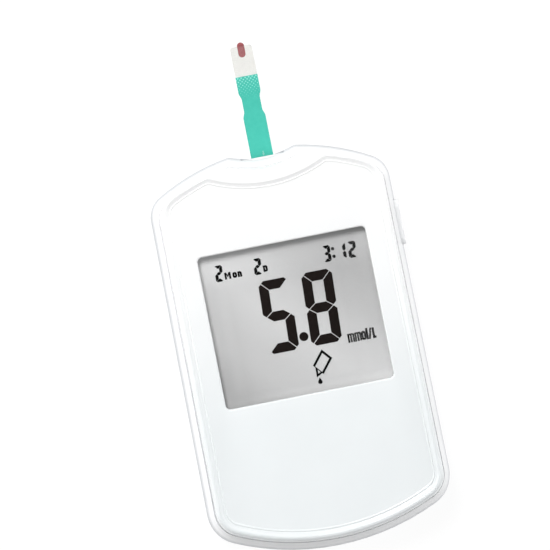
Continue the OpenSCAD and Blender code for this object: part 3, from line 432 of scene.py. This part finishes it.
def teal_print():
    """Teal cover film, whose print breaks up into light dots at its tip end."""
    material = Material("teal_print", 0.5, Specular_IOR_Level=0.15)
    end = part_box("strip_cover")[1].y / MM
    place = material.node("ShaderNodeTexCoord")
    scale = material.node("ShaderNodeMapping")
    scale.inputs["Scale"].default_value = (1 / (DOT_PITCH * MM),) * 3
    scale.inputs["Rotation"].default_value = (0, 0, math.radians(45))
    cells = material.node("ShaderNodeTexVoronoi", voronoi_dimensions="2D", Scale=1.0,
                          Randomness=0.1)
    fade = material.node("ShaderNodeMath", operation="MULTIPLY_ADD")
    fade.inputs[1].default_value = 0.3
    material.links.new(place.outputs["Object"], scale.inputs["Vector"])
    material.links.new(scale.outputs["Vector"], cells.inputs["Vector"])
    material.links.new(material.along("Y", end - DOT_FADE[0], end - DOT_FADE[1]), fade.inputs[0])
    material.links.new(cells.outputs["Distance"], fade.inputs[2])
    mottle = material.noise(1.2, 2)
    even = material.ramp(mottle, (0.3, colour(67, 183, 165)), (0.7, colour(71, 187, 169)))
    light = material.ramp(mottle, (0.3, colour(134, 218, 202)), (0.7, colour(142, 222, 208)))
    dots = material.ramp(fade.outputs["Value"], (0.28, (1, 1, 1, 1)), (0.34, (0, 0, 0, 1)))
    material.base(material.mixed(dots, even, light))
    material.bump(material.noise(0.3, 1), 0.004, 0.4)
    return material.material


def metal(name, light, dark, roughness):
    """Plated metal with fine drawing marks."""
    material = Material(name, roughness, Metallic=1.0)
    marks = material.noise(0.3, 3, (1, 0.1, 1))
    material.base(material.ramp(marks, (0.3, dark), (0.7, light)))
    material.rough(marks, roughness - 0.06, roughness + 0.1)
    material.bump(marks, 0.003, 0.5)
    return material.material


TRACK_PITCH = 4


def board_mask():
    """Green solder mask over faint copper tracks."""
    material = Material("board_mask", 0.35, Coat_Weight=0.2)
    place = material.node("ShaderNodeTexCoord")
    tracks = material.node("ShaderNodeTexBrick", Scale=1.0)
    tracks.inputs["Color1"].default_value = colour(30, 112, 66)
    tracks.inputs["Color2"].default_value = colour(26, 104, 60)
    tracks.inputs["Mortar"].default_value = colour(52, 138, 84)
    tracks.inputs["Mortar Size"].default_value = 0.02
    scale = material.node("ShaderNodeMapping")
    scale.inputs["Scale"].default_value = (1 / (TRACK_PITCH * MM),) * 3
    material.links.new(place.outputs["Object"], scale.inputs["Vector"])
    material.links.new(scale.outputs["Vector"], tracks.inputs["Vector"])
    material.base(tracks.outputs["Color"])
    material.bump(tracks.outputs["Fac"], 0.02, 0.5)
    return material.material


def cell_sleeve():
    """Plain blue sleeve of a cell."""
    material = Material("cell_sleeve", 0.3, Coat_Weight=0.3)
    cloud = material.noise(3, 2)
    material.base(material.ramp(cloud, (0.3, colour(58, 84, 132)), (0.7, colour(66, 94, 146))))
    material.bump(material.noise(0.5, 2), 0.003, 0.4)
    return material.material


materials = {
    "shell_upper": gloss_white(),
    "shell_lower": satin_white(),
    "button_grey": plastic("button_grey", colour(249, 250, 251), colour(245, 246, 247),
                           0.45, 0.25, 0.012),
    "clear_lens": clear_plastic("clear_lens", colour(60, 66, 68), 0.015, 0.06),
    "lcd_reflector": reflector_grey(),
    "lcd_glass": clear_plastic("lcd_glass", colour(60, 68, 66), 0.015, 0.05),
    "lcd_dark": printed("lcd_dark", colour(31, 21, 18), colour(25, 16, 13), 0.7, 0.4, 0.1),
    "inner_plastic": plastic("inner_plastic", colour(236, 237, 237), colour(228, 229, 229),
                             0.5, 0.3, 0.02),
    "rubber_grey": printed("rubber_grey", colour(160, 160, 164), colour(120, 120, 124), 0.75, 0.3),
    "board_green": board_mask(),
    "chip_black": plastic("chip_black", colour(40, 40, 43), colour(30, 30, 33), 0.6, 0.2, 0.02),
    "ceramic": printed("ceramic", colour(196, 164, 118), colour(176, 146, 104), 0.5, 0.2),
    "steel": metal("steel", colour(214, 214, 210), colour(180, 180, 178), 0.28),
    "gold": metal("gold", colour(232, 196, 112), colour(208, 170, 92), 0.25),
    "dark_plastic": plastic("dark_plastic", colour(66, 66, 70), colour(54, 54, 58),
                            0.45, 0.25, 0.02),
    "cell_sleeve": cell_sleeve(),
    "plunger": plastic("plunger", colour(206, 160, 92), colour(192, 146, 80), 0.45, 0.25, 0.01),
    "strip_white": printed("strip_white", colour(230, 229, 225), colour(226, 225, 221),
                           0.45, 1.2, 0.3),
    "carbon": printed("carbon", colour(64, 64, 68), colour(46, 46, 50), 0.6, 0.2),
    "strip_teal": teal_print(),
    "strip_clear": clear_plastic("strip_clear", colour(236, 238, 236), 0.03, 0.4, 0.2),
    "blood_red": printed("blood_red", colour(162, 91, 94), colour(152, 82, 85), 0.5, 0.6, 0.1),
}

# ------------------------------------------------------------------ pieces

replaced_nodes = set()


def piece(name, mesh_builder, slot, body, replaced=(), material=None):
    """Adds a mesh piece to its body, in place of any CAD nodes. mesh_builder is in millimetres."""
    mesh = bpy.data.meshes.new(name)
    bmesh.ops.scale(mesh_builder, vec=(MM, MM, MM), verts=mesh_builder.verts)
    bmesh.ops.recalc_face_normals(mesh_builder, faces=mesh_builder.faces)
    mesh_builder.to_mesh(mesh)
    mesh_builder.free()
    mesh.polygons.foreach_set("use_smooth", [True] * len(mesh.polygons))
    mesh.set_sharp_from_angle(angle=math.radians(SHARP_ANGLE))
    mesh.materials.append(material or materials[slot])
    made = bpy.data.objects.new(name, mesh)
    bpy.context.scene.collection.objects.link(made)
    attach(made, body)
    if replaced:
        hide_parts(*replaced)
        replaced_nodes.update(replaced)


def ring(builder, outline, z):
    """Points of an outline at one height."""
    return [builder.verts.new((x, y, z)) for x, y in outline]


def skin(builder, rings):
    """Quads between each ring and the next."""
    for low, high in zip(rings, rings[1:]):
        for i in range(len(low)):
            j = (i + 1) % len(low)
            builder.faces.new((low[i], low[j], high[j], high[i]))


def fill(builder, *rings):
    """Flat face between an outer and an inner ring."""
    edges = [builder.edges.get((r[i - 1], r[i])) or builder.edges.new((r[i - 1], r[i]))
             for r in rings for i in range(len(r))]
    bmesh.ops.triangle_fill(builder, use_beauty=True, use_dissolve=False, edges=edges)


def rounding(steps):
    """Pairs that go from (0, 0) to (1, 1) along a quarter circle that starts level."""
    angles = [math.pi / 2 * i / steps for i in range(steps + 1)]
    return [(math.sin(a), 1 - math.cos(a)) for a in angles]


def front_cover():
    """Front cover: side, shoulder, stepped rim of the face panel and rounded rim of its window."""
    builder = bmesh.new()
    side = SEAM_INSET + SEAM_GAP
    foot_z = SEAM_Z - GROOVE_D
    outer = [(housing(side + FOOT_EDGE * (1 - u)), foot_z + FOOT_EDGE * v)
             for u, v in rounding(FOOT_STEPS)]
    for i in range(SHOULDER_STEPS + 1):
        a = math.pi / 2 * i / SHOULDER_STEPS
        outline = blend(housing(side), panel(0), 1 - math.cos(a) ** SHOULDER_SQUARE)
        outer.append((outline, SEAM_Z + (BODY_H - SEAM_Z) * math.sin(a) ** SHOULDER_SQUARE))
    ledge_z = FACE_Z + RIM_LOW_STEP
    for start, width, high, low in ((0, RIM_OUTER, BODY_H, ledge_z),
                                    (RIM_OUTER + RIM_LEDGE, RIM_INNER, ledge_z, FACE_Z)):
        for i in range(RIM_STEPS + 1):
            s = i / RIM_STEPS
            outer.append((panel(start + width * s), high + (low - high) * (3 * s * s - 2 * s**3)))
        if not start:
            outer.append((panel(RIM_OUTER + RIM_LEDGE / 2), ledge_z - RIM_GROOVE))
    inner = [
        (panel(WALL), CEILING_Z),
        (housing(SEAM_INSET + WALL), SEAM_Z + TONGUE_H + SLIP),
        (housing(SEAM_INSET + WALL / 2), SEAM_Z + TONGUE_H + SLIP),
        (housing(SEAM_INSET + WALL / 2), foot_z),
    ]
    rings = [ring(builder, outline, z) for outline, z in inner + outer]
    skin(builder, rings)
    rim = [(WINDOW_BEVEL * (1 - u), WINDOW_BEVEL * v) for u, v in rounding(WINDOW_STEPS)]
    window = [(2 * grow, FACE_Z - drop) for grow, drop in rim] + [(0, CEILING_Z)]
    rim_rings = [
        ring(builder, rounded_rectangle(WINDOW_W + grow, WINDOW_L + grow, WINDOW_R + grow / 2), z)
        for grow, z in window
    ]
    skin(builder, rim_rings)
    fill(builder, rings[-1], rim_rings[0])
    fill(builder, rings[0], rim_rings[-1])
    piece("front_cover_shell", builder, "shell_upper", "housing", ["front_cover"])


def prism(builder, outline, z, height):
    """Upright prism on an outline."""
    low, high = ring(builder, outline, z), ring(builder, outline, z + height)
    skin(builder, [low, high])
    builder.faces.new(low)
    builder.faces.new(high)


def frame_prism(builder, outer, inner, z, height):
    """Upright prism between an outer outline and an inner one with as many points."""
    rings = [ring(builder, outline, level) for outline, level in
             ((outer, z), (outer, z + height), (inner, z + height), (inner, z))]
    skin(builder, rings + rings[:1])


def shrunk(outline, distance):
    """Convex outline with its sides moved inwards, by one distance or by one for each side."""
    distances = distance if isinstance(distance, list) else [distance] * len(outline)
    area = sum(a[0] * b[1] - b[0] * a[1] for a, b in zip(outline, outline[1:] + outline[:1]))
    side = 1 if area > 0 else -1
    moved = []
    for i, p in enumerate(outline):
        before, after = outline[i - 1], outline[(i + 1) % len(outline)]
        a = (Vector(p) - Vector(before)).normalized()
        b = (Vector(after) - Vector(p)).normalized()
        a, b = Vector((-a.y, a.x)) * side, Vector((-b.y, b.x)) * side
        c = min(a.dot(b), 0.999)
        reach = (distances[i - 1], distances[i])
        shift = (a * (reach[0] - c * reach[1]) + b * (reach[1] - c * reach[0])) / (1 - c * c)
        moved.append(tuple(Vector(p) + shift))
    return moved


# Marks of the display. A digit is the set of its dark bars: 0 top, 1 upper right, 2 lower right,
# 3 bottom, 4 lower left, 5 upper left, 6 middle
ONE, TWO, THREE, FIVE, EIGHT = (1, 2), (0, 1, 6, 4, 3), (0, 1, 2, 3, 6), (0, 5, 6, 2, 3), range(7)
DIGIT_LEAN = 0.04
BIG_DIGIT = {"w": 7.9, "h": 18.4, "t": 2.6, "knee": 0.87, "gap": 0.1}
SMALL_DIGIT = {"w": 2.0, "h": 4.1, "t": 0.82, "knee": 0.41, "gap": 0.02}
READING = ((-3.9, 1.3, FIVE), (6.9, 1.3, EIGHT))
DECIMAL_POINT = ((1.19, -5.0), 1.12)
DATE_AND_TIME = ((-16.4, 14.35, TWO), (-6.7, 14.22, TWO), (10.75, 14.03, THREE),
                 (14.55, 13.92, ONE), (17.1, 13.87, TWO))
COLON = ((12.38, 14.98), (12.38, 13.05))
COLON_R = 0.41
# For each line of letters its foot, and then sign, left side, width, height and stroke
LETTERS = (
    (12.58, (("M", -15.14, 1.55, 1.7, 0.48), ("o", -13.18, 1.12, 1.42, 0.49),
             ("n", -11.88, 1.04, 1.4, 0.48), ("D", -5.44, 1.14, 1.62, 0.49))),
    (-8.7, (("m", 11.79, 1.69, 2.22, 0.41), ("m", 13.56, 1.63, 2.22, 0.41),
            ("o", 15.22, 1.16, 2.24, 0.49), ("l", 16.42, 0.52, 2.78, 0.52),
            ("/", 16.96, 0.96, 2.68, 0.51), ("L", 18.0, 0.86, 2.62, 0.53))),
)
# Sign of a strip: its body and its pointed end, each with the strokes of its sides, and the drop
STRIP_SIGN = (
    ([(2.0, -12.51), (4.21, -15.05), (7.07, -11.5), (4.85, -8.97)], [0.2, 0.58, 0.58, 0.58]),
    ([(2.5, -13.09), (2.43, -15.55), (3.93, -14.73)], [0.48, 0.48, 0.03]),
)
DROP_MIDDLE, DROP_R, DROP_TOP = (3.03, -16.77), 0.55, (3.08, -15.67)


def digit(builder, middle, w, h, t, knee, gap, lit, z, height):
    """Seven-bar digit. t is its bars' width, and knee how far in the middle bar's ends are."""
    x, y, cut = w / 2, h / 2, t / 2
    end_bar = [(cut - x, y), (x - cut, y), (x - cut / 2, y - cut / 2), (x - t, y - t),
               (t - x, y - t), (cut / 2 - x, y - cut / 2)]
    side_bar = [(x, y - cut), (x, knee), (x - knee, 0), (x - t, t / 2), (x - t, y - t),
                (x - cut / 2, y - cut / 2)]
    middle_bar = [(knee - x, 0), (t - x, t / 2), (x - t, t / 2), (x - knee, 0), (x - t, -t / 2),
                  (t - x, -t / 2)]
    for k in lit:
        bar = middle_bar if k == 6 else end_bar if k % 3 == 0 else side_bar
        right = -1 if k in (4, 5) else 1
        up = -1 if k in (2, 3, 4) else 1
        turned = [(right * px + DIGIT_LEAN * up * py, up * py) for px, py in bar]
        outline = shrunk(turned, gap)
        prism(builder, [(middle[0] + px, middle[1] + py) for px, py in outline], z, height)


def letter(builder, sign, x, y, w, h, t, z, height):
    """One letter of the display, from its low left corner. t is the width of its strokes."""
    def solid(*points):
        prism(builder, [(x + px, y + py) for px, py in points], z, height)

    def hollow(outline):
        outer = [(x + px, y + py) for px, py in outline]
        frame_prism(builder, outer, shrunk(outer, t), z, height)

    if sign == "M":
        solid((0, 0), (0, h), (t, h), (w / 2, h * 0.6), (w - t, h), (w, h), (w, 0), (w - t, 0),
              (w - t, h * 0.62), (w / 2, h * 0.22), (t, h * 0.62), (t, 0))
    elif sign == "L":
        solid((0, 0), (0, h), (t, h), (t, t), (w, t), (w, 0))
    elif sign == "l":
        solid((0, 0), (0, h), (t, h), (t, 0))
    elif sign == "/":
        solid((0, 0), (w - t * 0.8, h), (w, h), (t * 0.8, 0))
    elif sign == "D":
        r = w * 0.45
        hollow([(0, 0)] + arc((w - r, r), r, -math.pi / 2, 0, 4)
               + arc((w - r, h - r), r, 0, math.pi / 2, 4) + [(0, h)])
    elif sign == "o":
        hollow([(w / 2 + px, h / 2 + py) for px, py in rounded_rectangle(w, h, w * 0.4, 3)])
    elif sign in "nm":
        legs = 2 if sign == "n" else 3
        step = (w - t) / (legs - 1)
        points = [(0, 0), (0, h), (w - t * 0.6, h), (w, h - t * 0.7), (w, 0), (w - t, 0)]
        for k in range(legs - 1, 0, -1):
            points += [(k * step, h - t), ((k - 1) * step + t, h - t), ((k - 1) * step + t, 0)]
            if k > 1:
                points.append(((k - 1) * step, 0))
        solid(*points)


def display_marks():
    """Dark marks of the display: reading, date, time, unit, and the sign of a strip with a drop."""
    low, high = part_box("lcd_segments")
    z = low.z / MM
    height = (high.z - low.z) / MM
    builder = bmesh.new()
    for x, y, lit in READING:
        digit(builder, (x, y), lit=lit, z=z, height=height, **BIG_DIGIT)
    prism(builder, arc(*DECIMAL_POINT, 0, 2 * math.pi, 24), z, height)
    piece("display_marks", builder, "lcd_dark", "housing", ["lcd_segments"])

    builder = bmesh.new()
    for x, y, lit in DATE_AND_TIME:
        digit(builder, (x, y), lit=lit, z=z, height=height, **SMALL_DIGIT)
    for middle in COLON:
        prism(builder, arc(middle, COLON_R, 0, 2 * math.pi, 16), z, height)
    for y, line in LETTERS:
        for sign, x, w, h, stroke in line:
            letter(builder, sign, x, y, w, h, stroke, z, height)
    for outline, strokes in STRIP_SIGN:
        frame_prism(builder, outline, shrunk(outline, strokes), z, height)
    drop = arc(DROP_MIDDLE, DROP_R, math.radians(150), math.radians(390), 14)
    prism(builder, drop + [DROP_TOP], z, height)
    ink = printed("lcd_ink", colour(13, 11, 10), colour(9, 7, 7), 0.7, 0.4, 0.1)
    piece("display_small_marks", builder, "lcd_dark", "housing", material=ink)


GLASS_EDGE = 0.08
GLASS_CORNER = 0.3


def box_piece(name, slot, replaced):
    """One sheet with bevelled edges in place of a stack of CAD sheets."""
    boxes = [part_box(n) for n in replaced]
    low = [min(b[0][i] for b in boxes) / MM for i in range(3)]
    high = [max(b[1][i] for b in boxes) / MM for i in range(3)]
    builder = bmesh.new()
    w, l = high[0] - low[0], high[1] - low[1]
    middle = ((low[0] + high[0]) / 2, (low[1] + high[1]) / 2)

    def outline(inset):
        points = rounded_rectangle(w - 2 * inset, l - 2 * inset, GLASS_CORNER, 4)
        return [(x + middle[0], y + middle[1]) for x, y in points]

    levels = [(GLASS_EDGE, low[2]), (0, low[2] + GLASS_EDGE), (0, high[2] - GLASS_EDGE),
              (GLASS_EDGE, high[2])]
    rings = [ring(builder, outline(inset), z) for inset, z in levels]
    skin(builder, rings)
    builder.faces.new(rings[0])
    builder.faces.new(rings[-1])
    piece(name, builder, slot, "housing", replaced)


# Arrow on the strip: its point, the length and half width of its head and of its whole shaft
ARROW_X, ARROW_Y = 0.43, NOTCH_Y + 0.25
ARROW_HEAD_L, ARROW_HEAD_HALF = 0.55, 0.3
ARROW_L, ARROW_SHAFT_HALF = 1.2, 0.13
ARROW_HEIGHT = 0.02


def strip_arrow():
    """Small arrow printed on the strip beside the port, which shows which way it goes in."""
    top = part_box("strip_cover")[1].z / MM
    builder = bmesh.new()
    x, neck, tail = ARROW_X, ARROW_Y + ARROW_HEAD_L, ARROW_Y + ARROW_L
    head, shaft = ARROW_HEAD_HALF, ARROW_SHAFT_HALF
    prism(builder, [(x - head, neck), (x, ARROW_Y), (x + head, neck)], top, ARROW_HEIGHT)
    prism(builder, [(x - shaft, neck), (x + shaft, neck), (x + shaft, tail), (x - shaft, tail)],
          top, ARROW_HEIGHT)
    ink = printed("arrow_ink", colour(132, 198, 186), colour(122, 190, 178), 0.5, 0.3)
    piece("strip_arrow", builder, "strip_teal", "test_strip", material=ink)


BLOOD_STOPS = 28
BLOOD_SIDES = 20
BLOOD_SQUARE = 0.6  # 1 is a round section, less is squarer
BEAD_SWELL = 0.3  # share of the bead's length over which it swells to its full height
BLOOD_TIP = (0.02, 0.01)  # half width and half height where it ends


def blood():
    """Blood in the channel, with the bead that stands out of the channel's mouth."""
    low, high = (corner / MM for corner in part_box("blood_sample"))
    base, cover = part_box("strip_electrodes")[1].z / MM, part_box("strip_spacer")[1].z / MM
    half, mouth = (high.x - low.x) / 2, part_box("strip_spacer")[1].y / MM
    middle = (base + cover) / 2
    reach = high.y - mouth
    turns = [2 * math.pi * k / BLOOD_SIDES for k in range(BLOOD_SIDES)]

    def squared(value):
        return math.copysign(abs(value) ** BLOOD_SQUARE, value)

    builder = bmesh.new()
    rings = []
    for i in range(BLOOD_STOPS + 1):
        y = low.y + (high.y - low.y) * (1 - math.cos(math.pi * i / BLOOD_STOPS)) / 2
        inner = max(0.0, 1 - ((low.y + half - y) / half) ** 2) ** 0.5 if y < low.y + half else 1
        outer = max(0.0, 1 - ((y - mouth) / reach) ** 2) ** 0.5 if y > mouth else 1
        wide = half * min(inner, outer)
        swell = min(1.0, max(0.0, (y - mouth) / (BEAD_SWELL * reach)))
        tall = (cover - base) / 2 * (1 - swell) + (high.z - low.z) / 2 * swell * outer
        if wide < BLOOD_TIP[0]:
            wide, tall = BLOOD_TIP
        rings.append([builder.verts.new((wide * squared(math.cos(a)), y,
                                         middle + tall * squared(math.sin(a)))) for a in turns])
    skin(builder, rings)
    builder.faces.new(rings[0])
    builder.faces.new(rings[-1])
    piece("blood_bead", builder, "blood_red", "test_strip", ["blood_sample"])


front_cover()
display_marks()
box_piece("display_front_glass", "lcd_glass", ["lcd_front_polarizer", "lcd_front_glass"])
box_piece("display_rear_glass", "lcd_reflector", ["lcd_rear_glass", "lcd_rear_polarizer"])
strip_arrow()
blood()

# ------------------------------------------------- CAD nodes that stay


SMOOTH_ANGLE = 28  # facets of a CAD node join below this many degrees
BEVEL_ANGLE = 33
WELD = 0.002
EDGES = {"memory_button": 0.15, "set_button": 0.15}


def dress(name, slot):
    """Gives a CAD node its material, joins its facets and rounds the edges of the buttons."""
    node = nodes[name]
    node.data.materials.clear()
    node.data.materials.append(materials[slot])
    node.data.polygons.foreach_set("use_smooth", [True] * len(node.data.polygons))
    weld = node.modifiers.new("weld", "WELD")
    weld.merge_threshold = WELD * MM
    if name in EDGES:
        flat = node.modifiers.new("flat", "DECIMATE")
        flat.decimate_type = "DISSOLVE"
        flat.angle_limit = math.radians(0.5)
        bevel = node.modifiers.new("edge", "BEVEL")
        bevel.width = EDGES[name] * MM
        bevel.segments = 2
        bevel.limit_method = "ANGLE"
        bevel.angle_limit = math.radians(BEVEL_ANGLE)
    split = node.modifiers.new("split", "EDGE_SPLIT")
    split.split_angle = math.radians(SMOOTH_ANGLE)


for subpart in frame["record"]["subparts"]:
    if subpart["node"] not in replaced_nodes:
        dress(subpart["node"], subpart["material_slot"])

# ------------------------------------------------------------------- stage


FLOOR_HALF = 3000
FLOOR_LIGHT = 0.9
WORLD_COLOUR = (0.97, 0.985, 1, 1)
WORLD_LIGHT = 0.15


def floor():
    """Pale floor that runs far past the view."""
    builder = bmesh.new()
    bmesh.ops.create_grid(builder, x_segments=2, y_segments=2, size=FLOOR_HALF)
    mesh = bpy.data.meshes.new("floor")
    bmesh.ops.scale(builder, vec=(MM, MM, MM), verts=builder.verts)
    builder.to_mesh(mesh)
    builder.free()
    material = Material("floor_white", 0.9, Emission_Color=(1, 1, 1, 1),
                        Emission_Strength=FLOOR_LIGHT)
    cloud = material.noise(400, 2)
    dark, light = (0.125, 0.125, 0.125, 1), (0.135, 0.135, 0.135, 1)
    material.base(material.ramp(cloud, (0.3, dark), (0.7, light)))
    mesh.materials.append(material.material)
    made = bpy.data.objects.new("floor", mesh)
    bpy.context.scene.collection.objects.link(made)


# Name, place in metres, side in metres and power in watts of each light
LIGHTS = (
    ("key", (-0.11, 0.26, 0.65), 0.2, 2.2),
    ("left", (-0.85, 0.2, 0.58), 0.7, 5.9),
    ("right", (0.88, -0.12, 0.4), 0.7, 4.8),
    ("far", (0, 0.95, 0.3), 0.7, 3.6),
)


def soft_light(name, place, size, power):
    """Square soft light that points at the meter."""
    lamp = bpy.data.lights.new(name, "AREA")
    lamp.size = size
    lamp.energy = power
    made = bpy.data.objects.new(name, lamp)
    made.location = place
    made.rotation_mode = "QUATERNION"
    made.rotation_quaternion = (-Vector(place)).to_track_quat("-Z", "Y")
    bpy.context.scene.collection.objects.link(made)


def world():
    """Even surroundings, a little cool."""
    made = bpy.data.worlds.new("studio")
    made.use_nodes = True
    made.node_tree.nodes["Background"].inputs["Color"].default_value = WORLD_COLOUR
    made.node_tree.nodes["Background"].inputs["Strength"].default_value = WORLD_LIGHT
    bpy.context.scene.world = made


# Camera: turned about the line of sight and tilted a little about both other axes. Lengths are in
# millimetres, angles in degrees, and TARGET_PIXEL is where the target lies in the picture
CAMERA_ROLL = -11.19
CAMERA_TILT_X = -0.38
CAMERA_TILT_Y = -1.55
CAMERA_DISTANCE = 900
CAMERA_TARGET = Vector((0, 6, 12))
IMAGE_SIZE = 550
TARGET_PIXEL = (289.46, 293.71)
PIXELS_PER_MM = 4.0054


def camera():
    """Camera high above the meter, at the photograph's angle."""
    data = bpy.data.cameras.new("camera")
    focal = PIXELS_PER_MM * CAMERA_DISTANCE
    data.sensor_width = 36
    data.lens = focal / IMAGE_SIZE * data.sensor_width
    data.clip_start = 0.01
    data.clip_end = 20
    turn = (
        Matrix.Rotation(math.radians(CAMERA_TILT_X), 3, "X")
        @ Matrix.Rotation(math.radians(CAMERA_TILT_Y), 3, "Y")
        @ Matrix.Rotation(math.radians(CAMERA_ROLL), 3, "Z")
    )
    aside = (IMAGE_SIZE / 2 - TARGET_PIXEL[0]) / PIXELS_PER_MM
    up = (TARGET_PIXEL[1] - IMAGE_SIZE / 2) / PIXELS_PER_MM
    made = bpy.data.objects.new("camera", data)
    made.location = (CAMERA_TARGET + turn @ Vector((aside, up, CAMERA_DISTANCE))) * MM
    made.rotation_mode = "QUATERNION"
    made.rotation_quaternion = turn.to_quaternion()
    bpy.context.scene.collection.objects.link(made)
    bpy.context.scene.camera = made


floor()
world()
for light in LIGHTS:
    soft_light(*light)
camera()
bpy.context.scene.view_settings.view_transform = "Standard"
